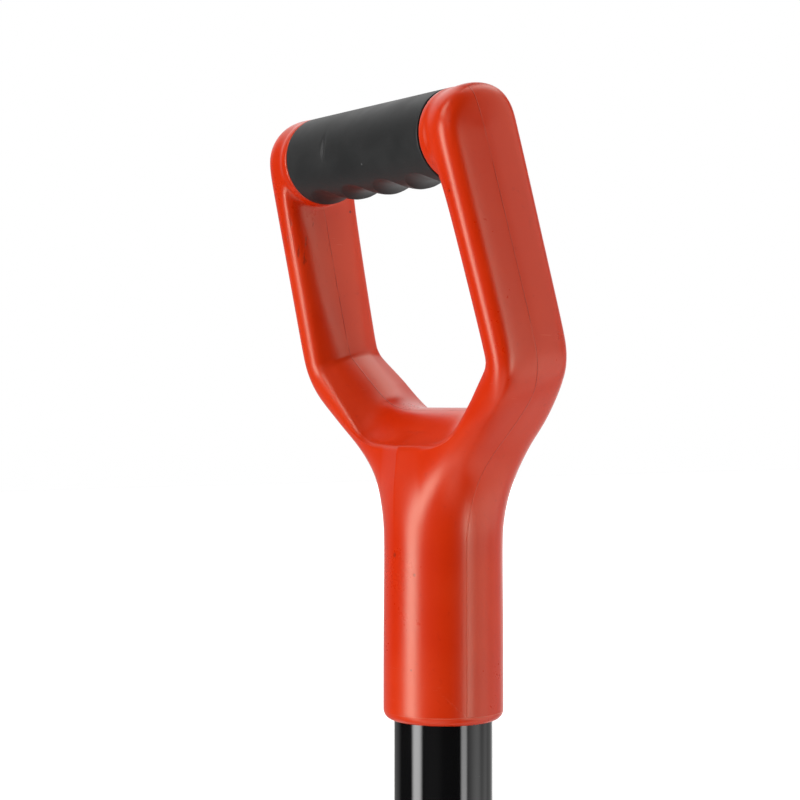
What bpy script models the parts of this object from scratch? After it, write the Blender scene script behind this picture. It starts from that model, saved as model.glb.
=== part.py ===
# Digging spade: plastic D handle, steel tube shaft and a pressed steel blade with foot treads.
# Metres, +Z up the shaft, +X along the handle's crossbar, -Y towards the digging face.
# The origin is on the shaft's axis, level with the rim of the handle's collar.

import math

import bmesh
import bpy
from mathutils import Vector

# Running gap between pieces that touch
FIT = 0.0003

# Shaft: one straight steel tube
SHAFT_DIAMETER = 0.035
SHAFT_WALL = 0.0015
SHAFT_IN_COLLAR = 0.058
SHAFT_BARE = 0.500
SHAFT_IN_SOCKET = 0.108

# Collar of the handle, which the shaft goes up into
COLLAR_WALL = 0.0035
COLLAR_HEIGHT = 0.0585
LIP_HEIGHT = 0.0034
LIP_EDGE = 0.0007

# Head of the handle, measured up its spine from the collar's rim
HEAD_LEAN = math.radians(13.65)
LEAN_START = 0.081
LEAN_END = 0.113
GRIP_HEIGHT = 0.1992
HEAD_WIDTH = 0.1178
ARM_THICKNESS = 0.01265
SIDE_CROWN = 0.0009
ARM_DEPTH = 0.0303
ARM_TOP_DEPTH = 0.0317
NECK_END = 0.1295
ARM_SPLAY = math.radians(4.07)
FLOOR_HEIGHT = 0.0995
FLOOR_RISE = 0.0088
NECK_SET_BACK = 0.0006
FLOOR_WIDTH = 0.057
FLOOR_RADIUS = 0.0115
INNER_SLOPE = math.radians(48.0)
INNER_ELBOW_RADIUS = 0.0065
OUTER_SLOPE = math.radians(41.5)
SHOULDER_RADIUS = 0.048
OUTER_ELBOW_RADIUS = 0.023
ARM_EDGE = 0.0049
END_SQUARENESS = 2.95
FLOOR_EDGE = 0.00235
RIM_HEIGHT = 0.0015

# Crossbar: the bare core of the moulding and the grip on it
GRIP_DIAMETER = 0.0315
GRIP_LENGTH = 0.0844
CORE_DIAMETER = 0.024
BOSS_CHAMFER = 0.0004
BOSS_SINK = 0.0003
BOSS_UNDERCUT = 0.004
CORE_OVERLAP = 0.004
FINGER_COUNT = 4
FINGER_PITCH = 0.0202
FINGER_DEPTH = 0.0024
FINGER_REACH = math.radians(54.0)
FINGER_FULLNESS = 2.6
SLEEVE_ROUND = 0.0005

# Socket: straight bore for the shaft, then a taper that ends in a round nose
SOCKET_WALL = 0.0020
SOCKET_STRAIGHT = 0.112
SOCKET_TAPER = 0.100
SOCKET_NOSE = 0.0085
SOCKET_RIM_ROUND = 0.0007

# Blade: pressed sheet, dished across, cranked forwards and raised over the socket's nose
BLADE_THICKNESS = 0.0020
BLADE_HEIGHT = 0.285
BLADE_TOP_WIDTH = 0.190
BLADE_TIP_WIDTH = 0.172
BLADE_CRANK = math.radians(9.0)
BLADE_DISH = 0.007
BLADE_SWEEP = 0.007
BLADE_CORNER = 0.016
BLADE_LAP = 0.072
BLADE_BOW = 0.008
RAISE_BLEND = 0.0035
RAISE_FLARE = 2.0
TOP_TRIM = 0.0015

# Treads: flat steel strips on the blade's two shoulders
TREAD_LENGTH = 0.066
TREAD_DEPTH = 0.016
TREAD_THICKNESS = 0.0035
TREAD_INSET = 0.002
TREAD_ROUND = 0.0012
TREAD_CORNER = 0.005

# Weld beads
SOCKET_BEAD = 0.0022
SOCKET_BEAD_STAND = 1.25
SOCKET_BEAD_INSET = 1.5
TREAD_BEAD = 0.0017
TREAD_BEAD_STAND = 1.05

# Rivets
COLLAR_RIVET = 0.0048
COLLAR_RIVET_HEIGHT = 0.024
SOCKET_RIVET = 0.0060
SOCKET_RIVET_SPACING = 0.060
SOCKET_RIVET_FROM_TOP = 0.022
RIVET_HEAD_RATIO = 1.9
RIVET_HEAD_HEIGHT = 0.0024
RIVET_SWELL = 1.35
RIVET_SWELL_LENGTH = 1.9

# How far cutters run past the faces they open
CUT_PAST = 0.01

# Sizes that follow from those above
SHAFT_RADIUS = SHAFT_DIAMETER / 2
BORE_RADIUS = SHAFT_RADIUS + FIT
COLLAR_RADIUS = BORE_RADIUS + COLLAR_WALL
SOCKET_RADIUS = BORE_RADIUS + SOCKET_WALL
GRIP_RADIUS = GRIP_DIAMETER / 2
CORE_RADIUS = CORE_DIAMETER / 2
SOCKET_TOP = -SHAFT_BARE
SHAFT_TOP = SHAFT_IN_COLLAR
SHAFT_BOTTOM = SOCKET_TOP - SHAFT_IN_SOCKET
TAPER_TOP = SOCKET_TOP - SOCKET_STRAIGHT
NOSE_CENTRE = TAPER_TOP - SOCKET_TAPER
BLADE_TOP = NOSE_CENTRE - SOCKET_NOSE + BLADE_LAP
BLADE_TIP = BLADE_TOP - BLADE_HEIGHT

# Counts that set how fine the facets are
COLUMNS = 5
NECK_ROWS = 3
QUARTER_STEPS = 4
ROUND_STEPS = 48
SLEEVE_STEPS = 60
FINGER_STEPS = 8
RIVET_STEPS = 16
DOME_STEPS = 5
CUTTER_STEPS = 32
NOSE_STEPS = 6
RAISE_COLUMNS = 7
RAISE_SPACING = 0.0034
WIDE_COLUMNS = (0.030, 0.047)
CORNER_STEPS = 4
LAP_ROWS = 10
LOWER_ROWS = 6
SOCKET_BEAD_STEPS = 22
TREAD_BEAD_STEPS = 8
FLAT_ANGLE = math.radians(0.9)

COLLECTION = "digging_spade"


def clear_scene():
    for item in list(bpy.data.objects):
        bpy.data.objects.remove(item, do_unlink=True)


def make_collection(name):
    group = bpy.data.collections.new(name)
    bpy.context.scene.collection.children.link(group)
    return group


def make_material(name, colour, roughness, metallic=0.0):
    material = bpy.data.materials.new(name)
    material.use_nodes = True
    shader = material.node_tree.nodes["Principled BSDF"]
    shader.inputs["Base Color"].default_value = (*colour, 1.0)
    shader.inputs["Roughness"].default_value = roughness
    shader.inputs["Metallic"].default_value = metallic
    material.diffuse_color = (*colour, 1.0)
    return material


def add_object(name, data, group, material=None):
    item = bpy.data.objects.new(name, data)
    group.objects.link(item)
    if material is not None:
        data.materials.append(material)
    return item


def smooth(mesh, angle=35.0):
    mesh.shade_smooth()
    mesh.set_sharp_from_angle(angle=math.radians(angle))


def finish_mesh(name, bm, group, material, turn_outwards=True):
    bmesh.ops.remove_doubles(bm, verts=bm.verts, dist=1e-6)
    if turn_outwards:
        bmesh.ops.recalc_face_normals(bm, faces=bm.faces)
    mesh = bpy.data.meshes.new(name)
    bm.to_mesh(mesh)
    bm.free()
    smooth(mesh)
    return add_object(name, mesh, group, material)


def turned(name, profile, group, material, closed=False, steps=ROUND_STEPS):
    # Profile points are (radius, height); an open one starts and ends on the axis
    mesh = bpy.data.meshes.new(name)
    points = [(radius, 0.0, height) for radius, height in profile]
    edges = [(i, i + 1) for i in range(len(points) - 1)]
    if closed:
        edges.append((len(points) - 1, 0))
    mesh.from_pydata(points, edges, [])
    item = add_object(name, mesh, group, material)
    screw = item.modifiers.new("Turn", 'SCREW')
    screw.steps = steps
    screw.render_steps = steps
    screw.use_merge_vertices = True
    screw.merge_threshold = 0.00001
    screw.use_smooth_shade = True
    return item


def make_cutter(item):
    item.display_type = 'WIRE'
    item.hide_render = True
    return item


def cylinder_cutter(name, radius, depth, cutters, steps):
    bm = bmesh.new()
    bmesh.ops.create_cone(bm, cap_ends=True, segments=steps, radius1=radius, radius2=radius, depth=depth)
    mesh = bpy.data.meshes.new(name)
    bm.to_mesh(mesh)
    bm.free()
    return make_cutter(add_object(name, mesh, cutters))


def cut(item, cutter, operation='DIFFERENCE'):
    boolean = item.modifiers.new(cutter.name, 'BOOLEAN')
    boolean.operation = operation
    boolean.solver = 'EXACT'
    boolean.object = cutter


def ease(value, start, end):
    # 0 before start, 1 after end, with no corner between
    t = min(max((value - start) / (end - start), 0.0), 1.0)
    return t * t * (3.0 - 2.0 * t)


def mix(a, b, t):
    return a + (b - a) * t


def meet(p, angle_p, q, angle_q):
    # Where two lines in the head's flat outline cross
    dp = Vector((math.cos(angle_p), math.sin(angle_p)))
    dq = Vector((math.cos(angle_q), math.sin(angle_q)))
    gap = Vector(q) - Vector(p)
    t = (gap.x * dq.y - gap.y * dq.x) / (dp.x * dq.y - dp.y * dq.x)
    return Vector(p) + dp * t


def rounded_corner(corner, angle_in, angle_out, radius, steps):
    # Points of an arc that rounds a corner, each with the direction of travel there
    turn = angle_out - angle_in
    reach = radius * math.tan(abs(turn) / 2)
    side = 1.0 if turn > 0 else -1.0
    start = corner - Vector((math.cos(angle_in), math.sin(angle_in))) * reach
    centre = start + Vector((-math.sin(angle_in), math.cos(angle_in))) * radius * side
    points = []
    for i in range(steps + 1):
        angle = angle_in + turn * i / steps
        offset = Vector((math.sin(angle), -math.cos(angle))) * radius * side
        points.append((centre + offset, angle))
    return points


def arm_line(height, inner):
    # Half width of the arms' outer or inner face at a height on the spine
    outside = HEAD_WIDTH / 2 + (GRIP_HEIGHT - height) * math.tan(ARM_SPLAY)
    return outside - ARM_THICKNESS / math.cos(ARM_SPLAY) if inner else outside


def half_depth(height):
    # Half of the moulding's front to back size: it narrows up the neck and widens up the arms
    arm = mix(ARM_DEPTH / 2, ARM_TOP_DEPTH / 2, ease(height, NECK_END, GRIP_HEIGHT))
    return mix(COLLAR_RADIUS, arm, ease(height, COLLAR_HEIGHT, NECK_END))


def corner_radius(height):
    # The round collar turns into the arms' rounded oblong
    return mix(COLLAR_RADIUS, ARM_EDGE, ease(height, COLLAR_HEIGHT, NECK_END - 0.022))


def inner_edge(height):
    # The opening's edge is crisper round its floor than up the arms
    return mix(FLOOR_EDGE, ARM_EDGE, ease(height, FLOOR_HEIGHT + 0.012, NECK_END))


def crown(height, share):
    # The moulding is widest at its middle, where its two halves part
    return SIDE_CROWN * ease(height, COLLAR_HEIGHT, NECK_END) * share


def lean(point):
    # Sets the neck back a little, then bends the spine forwards from LEAN_START to LEAN_END
    x, y, height = point
    y += NECK_SET_BACK * ease(height, COLLAR_HEIGHT, FLOOR_HEIGHT) * (1.0 - ease(height, FLOOR_HEIGHT, NECK_END))
    if height <= LEAN_START:
        return Vector((x, y, height))
    radius = (LEAN_END - LEAN_START) / HEAD_LEAN
    angle = min((height - LEAN_START) / radius, HEAD_LEAN)
    spine_y = -radius * (1.0 - math.cos(angle))
    spine_z = LEAN_START + radius * math.sin(angle)
    beyond = max(height - LEAN_END, 0.0)
    spine_y -= beyond * math.sin(angle)
    spine_z += beyond * math.cos(angle)
    return Vector((x, spine_y + y * math.cos(angle), spine_z + y * math.sin(angle)))


def inner_outline(side):
    # Edge of the hand opening, from the middle of its floor to the arm above the elbow.
    # The floor rises from front to back, between slopes that stay where they are.
    up_arm = math.pi / 2 + ARM_SPLAY
    rise = side * FLOOR_RISE / 2
    floor_height = FLOOR_HEIGHT + rise
    floor_corner = Vector((FLOOR_WIDTH / 2 + rise / math.tan(INNER_SLOPE), floor_height))
    arm_foot = (arm_line(FLOOR_HEIGHT, True), FLOOR_HEIGHT)
    elbow = meet(floor_corner, INNER_SLOPE, arm_foot, up_arm)
    floor_arc = rounded_corner(floor_corner, 0.0, INNER_SLOPE, FLOOR_RADIUS, 2)
    elbow_arc = rounded_corner(elbow, INNER_SLOPE, up_arm, INNER_ELBOW_RADIUS, 3)
    middle = (floor_arc[-1][0] + elbow_arc[0][0]) / 2
    start = [(Vector((0.0, floor_height)), 0.0), (Vector((floor_arc[0][0].x / 2, floor_height)), 0.0)]
    return start + floor_arc + [(middle, INNER_SLOPE)] + elbow_arc


def outer_outline():
    # Outside of one shoulder: shoulder arc, straight slope and elbow
    up_arm = math.pi / 2 + ARM_SPLAY
    arm_foot = (arm_line(FLOOR_HEIGHT, False), FLOOR_HEIGHT)
    straight = math.pi / 2
    rise = SHOULDER_RADIUS * math.tan((straight - OUTER_SLOPE) / 2)
    shoulder = Vector((COLLAR_RADIUS, COLLAR_HEIGHT + rise))
    elbow = meet(shoulder, OUTER_SLOPE, arm_foot, up_arm)
    shoulder_arc = rounded_corner(shoulder, straight, OUTER_SLOPE, SHOULDER_RADIUS, 6)
    elbow_arc = rounded_corner(elbow, OUTER_SLOPE, up_arm, OUTER_ELBOW_RADIUS, 3)
    after = shoulder_arc[-1][0].lerp(elbow_arc[0][0], 0.33)
    before = shoulder_arc[-1][0].lerp(elbow_arc[0][0], 0.67)
    return shoulder_arc + [(after, OUTER_SLOPE), (before, OUTER_SLOPE)] + elbow_arc


def front_row(inner, inner_angle, edge, outer, outer_angle, round_radius, depth_at):
    # One row of the cage, from the opening's front edge, round the outer edge, to the side's middle
    inner_side = Vector((math.sin(inner_angle), -math.cos(inner_angle)))
    outer_side = Vector((-math.sin(outer_angle), math.cos(outer_angle)))
    flat_start = inner + inner_side * edge
    flat_end = outer + outer_side * round_radius
    depth = depth_at(outer.y)
    flat = (flat_end - flat_start).length
    arc = round_radius * math.pi / 2
    side = max(depth - round_radius, 1e-6)
    total = flat + arc + side
    row = []
    for i in range(COLUMNS + 1):
        run = total * i / COLUMNS
        if run <= flat:
            place = flat_start.lerp(flat_end, run / flat if flat > 1e-9 else 0.0)
            share = 1.0
        elif run <= flat + arc:
            turn = (run - flat) / round_radius
            place = flat_end - outer_side * round_radius * math.sin(turn)
            share = 1.0 - round_radius * (1.0 - math.cos(turn)) / depth
        else:
            share = (total - run) / depth
            place = outer - outer_side * crown(outer.y, 1.0 - (total - run) / side)
        row.append(Vector((place.x, -share * depth_at(place.y), place.y)))
    return row


def inner_row(inner, inner_angle, edge, depth_at, centre):
    # The opening's wall on the same row: its rounded edge and its flat, to the middle
    side = Vector((math.sin(inner_angle), -math.cos(inner_angle)))
    row = []
    for turn in (0.0, math.pi / 4, math.pi / 2):
        place = inner + side * edge * (1.0 - math.sin(turn))
        depth = depth_at(place.y) - edge * (1.0 - math.cos(turn))
        row.append(Vector((place.x, -depth, place.y)))
    middle = centre - side * crown(centre.y, 1.0)
    row.append(Vector((middle.x, 0.0, middle.y)))
    return row


def skin(bm, rows):
    # Faces between rows of points; points that coincide make a triangle
    for lower, upper in zip(rows, rows[1:]):
        for i in range(len(lower) - 1):
            add_face(bm, (lower[i], lower[i + 1], upper[i + 1], upper[i]))


def add_face(bm, points):
    corners = []
    for point in points:
        if all((point - other).length > 1e-7 for other in corners):
            corners.append(point)
    if len(corners) > 2:
        bm.faces.new([bm.verts.new(corner) for corner in corners])


def collar_rows():
    # Round rows of the collar, from the middle of its underside up to the shoulder
    scale = 3.0 / (2.0 + math.cos(math.pi / 2 / COLUMNS))
    lip_radius = BORE_RADIUS + LIP_EDGE
    drop = COLLAR_RADIUS - lip_radius
    levels = [(0.0, -LIP_HEIGHT), (lip_radius * 0.8, -LIP_HEIGHT), (lip_radius, -LIP_HEIGHT)]
    for turn in (0.3, 0.65, 1.0):
        levels.append((lip_radius + drop * math.sin(turn * math.pi / 2),
                       -LIP_HEIGHT * math.cos(turn * math.pi / 2)))
    levels += [(COLLAR_RADIUS, RIM_HEIGHT), (COLLAR_RADIUS, COLLAR_HEIGHT * 0.5)]
    rows = []
    for radius, height in levels:
        row = []
        for i in range(COLUMNS + 1):
            angle = math.pi / 2 * i / COLUMNS
            row.append(Vector((radius * scale * math.sin(angle), -radius * scale * math.cos(angle), height)))
        rows.append(row)
    return rows


def head_rows(back):
    # Matched rows of the cage's front or back and of the opening's wall, up to below the grip
    inner = inner_outline(back)
    centre_line = inner_outline(0.0)
    outer = outer_outline()
    fronts = collar_rows()
    walls = []
    for i in range(NECK_ROWS):
        place, angle = outer[i]
        centre = Vector((0.0, mix(COLLAR_HEIGHT, inner[0][0].y - FLOOR_EDGE, i / NECK_ROWS)))
        fronts.append(front_row(centre, 0.0, 0.0, place, angle, corner_radius(place.y), half_depth))
    for (place, angle), (centre, _), (side, side_angle) in zip(inner, centre_line, outer[NECK_ROWS:]):
        radius = corner_radius(side.y)
        edge = inner_edge(place.y)
        fronts.append(front_row(place, angle, edge, side, side_angle, radius, half_depth))
        walls.append(inner_row(place, angle, edge, half_depth, centre))
    up_arm = math.pi / 2 + ARM_SPLAY
    under_boss = GRIP_HEIGHT - GRIP_RADIUS - BOSS_UNDERCUT
    elbow_top = inner[-1][0].y
    for height in (mix(elbow_top, under_boss, 0.5), under_boss):
        place = Vector((arm_line(height, True), height))
        side = Vector((arm_line(height, False), height))
        fronts.append(front_row(place, up_arm, ARM_EDGE, side, up_arm, ARM_EDGE, half_depth))
        walls.append(inner_row(place, up_arm, ARM_EDGE, half_depth, place))
    return fronts, walls


def boss_ring(radius, x_at, angles):
    ring = []
    for angle in angles:
        height = GRIP_HEIGHT + radius * math.sin(angle)
        ring.append(Vector((x_at(height), -radius * math.cos(angle), height)))
    return ring


def end_reach(angle, back):
    # The arms' ends are half round at the front and squarer at the back
    power = END_SQUARENESS if back > 0 else 2.0
    return (abs(math.cos(angle)) ** power + abs(math.sin(angle)) ** power) ** (-1.0 / power)


def head_top(bm, fronts, walls, back):
    # The arm's rounded end about the grip's axis, and the boss that carries the grip
    up_arm = math.pi / 2 + ARM_SPLAY
    quarter = [math.pi / 2 * i / QUARTER_STEPS for i in range(QUARTER_STEPS + 1)]
    boss_angles = [-angle for angle in reversed(quarter)] + quarter[1:]
    scale = 3.0 / (2.0 + math.cos(math.pi / 2 / QUARTER_STEPS))
    boss_radius = GRIP_RADIUS * scale
    face = boss_ring(boss_radius, lambda height: arm_line(height, True) - BOSS_SINK, boss_angles)
    stations = []
    for angle in boss_angles[QUARTER_STEPS - 2:QUARTER_STEPS]:
        stations.append(GRIP_HEIGHT + boss_radius * math.sin(angle))
    stations.append(GRIP_HEIGHT)
    edge_rows = []
    for height in stations:
        place = Vector((arm_line(height, True), height))
        side = Vector((arm_line(height, False), height))
        fronts.append(front_row(place, up_arm, ARM_EDGE, side, up_arm, ARM_EDGE, half_depth))
        wall = inner_row(place, up_arm, ARM_EDGE, half_depth, place)
        middle = Vector((wall[1].x, -(half_depth(height) - ARM_EDGE * 0.1), wall[1].z))
        edge_rows.append([wall[0], middle])
    last_front = fronts[-1]
    for angle in quarter[1:]:
        row = []
        for point in last_front:
            reach = -point.y * end_reach(angle, back)
            reach *= scale if -point.y > ARM_DEPTH / 2 - ARM_EDGE else 1.0
            height = GRIP_HEIGHT + reach * math.sin(angle)
            shift = (GRIP_HEIGHT - height) * math.tan(ARM_SPLAY)
            row.append(Vector((point.x + shift, -reach * math.cos(angle), height)))
        fronts.append(row)
        edge = []
        for point in edge_rows[2]:
            reach = -point.y * scale * end_reach(angle, back)
            height = GRIP_HEIGHT + reach * math.sin(angle)
            shift = (GRIP_HEIGHT - height) * math.tan(ARM_SPLAY)
            edge.append(Vector((point.x + shift, -reach * math.cos(angle), height)))
        edge_rows.append(edge)
    first = QUARTER_STEPS - 2
    rows = [[walls[-1][0], walls[-1][1], walls[-1][2]]]
    for i, edge in enumerate(edge_rows):
        rows.append([fronts[len(fronts) - len(edge_rows) + i][0], edge[1], face[first + i]])
    skin(bm, rows)
    add_face(bm, [walls[-1][2], walls[-1][3], face[0], face[1], face[2]])
    end = GRIP_LENGTH / 2 + FIT
    root = arm_line(GRIP_HEIGHT, True)
    rings = [face,
             boss_ring(boss_radius, lambda height: mix(root, end, 0.35), boss_angles),
             boss_ring(boss_radius, lambda height: end + BOSS_CHAMFER * 2, boss_angles),
             boss_ring(boss_radius - BOSS_CHAMFER, lambda height: end, boss_angles),
             boss_ring(boss_radius * 0.9, lambda height: end, boss_angles),
             boss_ring(0.0, lambda height: end, boss_angles)]
    skin(bm, rings)


def handle_frame(group, cutters, material):
    # The cage's front and back quarters are made, leant forwards and mirrored
    bm = bmesh.new()
    for back in (-1.0, 1.0):
        made = len(bm.verts)
        fronts, walls = head_rows(back)
        head_top(bm, fronts, walls, back)
        skin(bm, fronts)
        skin(bm, walls)
        bm.verts.ensure_lookup_table()
        for vert in bm.verts[made:]:
            vert.co.y *= -back
    for vert in bm.verts:
        vert.co = lean(vert.co)
    item = finish_mesh("handle_frame", bm, group, material)
    mirror = item.modifiers.new("Other side", 'MIRROR')
    mirror.use_axis = (True, False, False)
    mirror.use_clip = True
    mirror.merge_threshold = 0.00002
    rounding = item.modifiers.new("Rounding", 'SUBSURF')
    rounding.levels = 1
    rounding.render_levels = 1
    return item


def point_along(item, centre, direction):
    # Places a turned piece or cutter with its own +Z along a direction
    item.location = centre
    item.rotation_mode = 'QUATERNION'
    item.rotation_quaternion = Vector(direction).to_track_quat('Z', 'Y')


def join_flats(item):
    # Facets that lie in one plane become one face
    flats = item.modifiers.new("Flat faces", 'DECIMATE')
    flats.decimate_type = 'DISSOLVE'
    flats.angle_limit = FLAT_ANGLE


def grip_centre():
    return lean((0.0, 0.0, GRIP_HEIGHT))


def add_core(frame, cutters):
    # The moulding's bare crossbar, from boss to boss
    core = cylinder_cutter("crossbar_core", CORE_RADIUS, GRIP_LENGTH + CORE_OVERLAP, cutters, CUTTER_STEPS)
    point_along(core, grip_centre(), (1.0, 0.0, 0.0))
    cut(frame, core, 'UNION')


def cut_bore(frame, cutters):
    # Blind bore for the shaft, open at the collar's rim
    height = SHAFT_IN_COLLAR + FIT + LIP_HEIGHT + CUT_PAST
    bore = cylinder_cutter("collar_bore", BORE_RADIUS, height, cutters, ROUND_STEPS)
    bore.location = (0.0, 0.0, SHAFT_IN_COLLAR + FIT - height / 2)
    cut(frame, bore)


def ring_profile(outer, inner, top, bottom, rounding):
    # Section of a tube with softened ends
    return [(outer - rounding, top), (outer, top - rounding),
            (outer, bottom + rounding), (outer - rounding, bottom),
            (inner + rounding / 2, bottom), (inner, bottom + rounding / 2),
            (inner, top - rounding / 2), (inner + rounding / 2, top)]


def finger_hollow(x, turn):
    # Depth of the hollows, which meet in sharp ridges; turn is measured from straight down the arms
    across = x / FINGER_PITCH + FINGER_COUNT / 2
    if abs(turn) >= FINGER_REACH or not 0.0 < across < FINGER_COUNT:
        return 0.0
    scoop = 1.0 - abs(2.0 * (across % 1.0) - 1.0) ** FINGER_FULLNESS
    return max(FINGER_DEPTH * (scoop - (turn / FINGER_REACH) ** 2), 0.0)


def grip_sleeve(group, material):
    # Soft tube on the core, with finger hollows pressed into its underside
    end = GRIP_LENGTH / 2
    rings = [(radius, x) for radius, x in ring_profile(GRIP_RADIUS, CORE_RADIUS + FIT, end, -end, SLEEVE_ROUND)]
    steps = FINGER_COUNT * FINGER_STEPS
    for i in range(steps + 1):
        rings.insert(2 + i, (GRIP_RADIUS, FINGER_PITCH * (FINGER_COUNT / 2 - i / FINGER_STEPS)))
    down = Vector((0.0, math.sin(HEAD_LEAN), -math.cos(HEAD_LEAN)))
    back = Vector((0.0, math.cos(HEAD_LEAN), math.sin(HEAD_LEAN)))
    bm = bmesh.new()
    made = []
    for radius, x in rings:
        ring = []
        for i in range(SLEEVE_STEPS):
            turn = math.pi * (2 * i / SLEEVE_STEPS - 1.0)
            reach = radius - (finger_hollow(x, turn) if radius == GRIP_RADIUS else 0.0)
            place = (down * math.cos(turn) + back * math.sin(turn)) * reach
            ring.append(bm.verts.new(grip_centre() + place + Vector((x, 0.0, 0.0))))
        made.append(ring)
    for ring, after in zip(made, made[1:] + made[:1]):
        for i in range(SLEEVE_STEPS):
            j = (i + 1) % SLEEVE_STEPS
            bm.faces.new((ring[i], ring[j], after[j], after[i]))
    sleeve = finish_mesh("grip_sleeve", bm, group, material)
    join_flats(sleeve)
    return sleeve


def shaft(group, material):
    outer = SHAFT_RADIUS
    inner = SHAFT_RADIUS - SHAFT_WALL
    profile = [(outer, SHAFT_TOP), (outer, SHAFT_BOTTOM), (inner, SHAFT_BOTTOM), (inner, SHAFT_TOP)]
    return turned("shaft", profile, group, material, closed=True)


def socket_radius(height):
    # Outside radius of the socket at a height: straight, tapered, then the round nose
    if height >= TAPER_TOP:
        return SOCKET_RADIUS
    if height >= NOSE_CENTRE:
        return mix(SOCKET_NOSE, SOCKET_RADIUS, (height - NOSE_CENTRE) / SOCKET_TAPER)
    return math.sqrt(max(SOCKET_NOSE ** 2 - (NOSE_CENTRE - height) ** 2, 0.0))


def blade_socket(group, material):
    # Bored from the top for the shaft and closed at the nose
    rim = SOCKET_RIM_ROUND
    profile = [(BORE_RADIUS + rim, SOCKET_TOP), (SOCKET_RADIUS - rim, SOCKET_TOP),
               (SOCKET_RADIUS, SOCKET_TOP - rim), (SOCKET_RADIUS, TAPER_TOP)]
    profile.append((mix(SOCKET_RADIUS, SOCKET_NOSE, 0.5), mix(TAPER_TOP, NOSE_CENTRE, 0.5)))
    for i in range(NOSE_STEPS + 1):
        angle = math.pi / 2 * i / NOSE_STEPS
        profile.append((SOCKET_NOSE * math.cos(angle), NOSE_CENTRE - SOCKET_NOSE * math.sin(angle)))
    seat = SHAFT_BOTTOM - FIT
    profile += [(0.0, seat), (BORE_RADIUS, seat), (BORE_RADIUS, SOCKET_TOP - rim)]
    profile.append(profile[0])
    return turned("blade_socket", profile, group, material)


def blade_plane(x, height):
    # Back of the pressed sheet without its raised middle
    below = BLADE_TOP - height
    lift = -math.tan(BLADE_CRANK) * below
    curl = -BLADE_SWEEP * (below / BLADE_HEIGHT) ** 2
    return lift + curl - BLADE_DISH * (x / (BLADE_TOP_WIDTH / 2)) ** 2


def blade_back(x, height):
    # The sheet clears the socket's front by FIT, with a rounded foot at each side
    flat = blade_plane(x, height)
    reach = socket_radius(height) + FIT * 2
    if abs(x) < reach:
        raised = -math.sqrt(reach ** 2 - x ** 2)
    else:
        raised = (abs(x) - reach) * RAISE_FLARE
    gap = flat - raised
    return 0.5 * (flat + raised - math.sqrt(gap ** 2 + RAISE_BLEND ** 2))


def blade_edge(x):
    # Lower edge of the sheet at a distance from the middle: slightly bowed, with round corners
    half = BLADE_TIP_WIDTH / 2
    bow = BLADE_BOW * (x / half) ** 2
    over = max(abs(x) - (half - BLADE_CORNER), 0.0)
    corner = BLADE_CORNER - math.sqrt(max(BLADE_CORNER ** 2 - over ** 2, 0.0))
    return BLADE_TIP + bow + corner


def blade_columns():
    # Distances from the middle as shares of the half width, closest over the raised middle
    half = BLADE_TIP_WIDTH / 2
    inner = [RAISE_SPACING * i for i in range(RAISE_COLUMNS)]
    corner = []
    for i in range(CORNER_STEPS + 1):
        corner.append(half - BLADE_CORNER * (1.0 - math.sin(math.pi / 2 * i / CORNER_STEPS)))
    return [x / half for x in inner + list(WIDE_COLUMNS) + corner]


def trim_top(sheet, cutters):
    # Shears the sheet's top edge level, where the treads sit
    bm = bmesh.new()
    bmesh.ops.create_cube(bm, size=1.0)
    size = Vector((BLADE_TOP_WIDTH * 1.2, SOCKET_RADIUS * 4, TOP_TRIM * 4))
    bmesh.ops.scale(bm, vec=size, verts=bm.verts)
    mesh = bpy.data.meshes.new("top_shear")
    bm.to_mesh(mesh)
    bm.free()
    shear = make_cutter(add_object(mesh.name, mesh, cutters))
    shear.location = (0.0, 0.0, BLADE_TOP + size.z / 2)
    cut(sheet, shear)


def blade(group, cutters, material):
    bm = bmesh.new()
    side = blade_columns()
    columns = [-x for x in reversed(side[1:])] + side
    lap_end = BLADE_TOP - BLADE_LAP
    rows = []
    for i in range(LAP_ROWS + LOWER_ROWS + 1):
        row = []
        for share in columns:
            x_tip = share * BLADE_TIP_WIDTH / 2
            bottom = blade_edge(x_tip)
            if i <= LAP_ROWS:
                height = mix(BLADE_TOP + TOP_TRIM, lap_end, i / LAP_ROWS)
            else:
                height = mix(lap_end, bottom, (i - LAP_ROWS) / LOWER_ROWS)
            widen = (height - BLADE_TIP) / BLADE_HEIGHT
            x = share * mix(BLADE_TIP_WIDTH, BLADE_TOP_WIDTH, widen) / 2
            row.append(bm.verts.new((x, blade_back(x, height), height)))
        rows.append(row)
    for upper, lower in zip(rows, rows[1:]):
        for i in range(len(columns) - 1):
            bm.faces.new((upper[i], lower[i], lower[i + 1], upper[i + 1]))
    item = finish_mesh("blade", bm, group, material, turn_outwards=False)
    shell = item.modifiers.new("Sheet", 'SOLIDIFY')
    shell.thickness = BLADE_THICKNESS
    shell.offset = 1.0
    shell.use_even_offset = True
    trim_top(item, cutters)
    return item


def tread_middle():
    # Middle of a tread, from the spade's middle and from front to back
    outer = BLADE_TOP_WIDTH / 2 - TREAD_INSET
    x = outer - TREAD_LENGTH / 2
    return x, blade_back(x, BLADE_TOP) - BLADE_THICKNESS / 2


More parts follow.
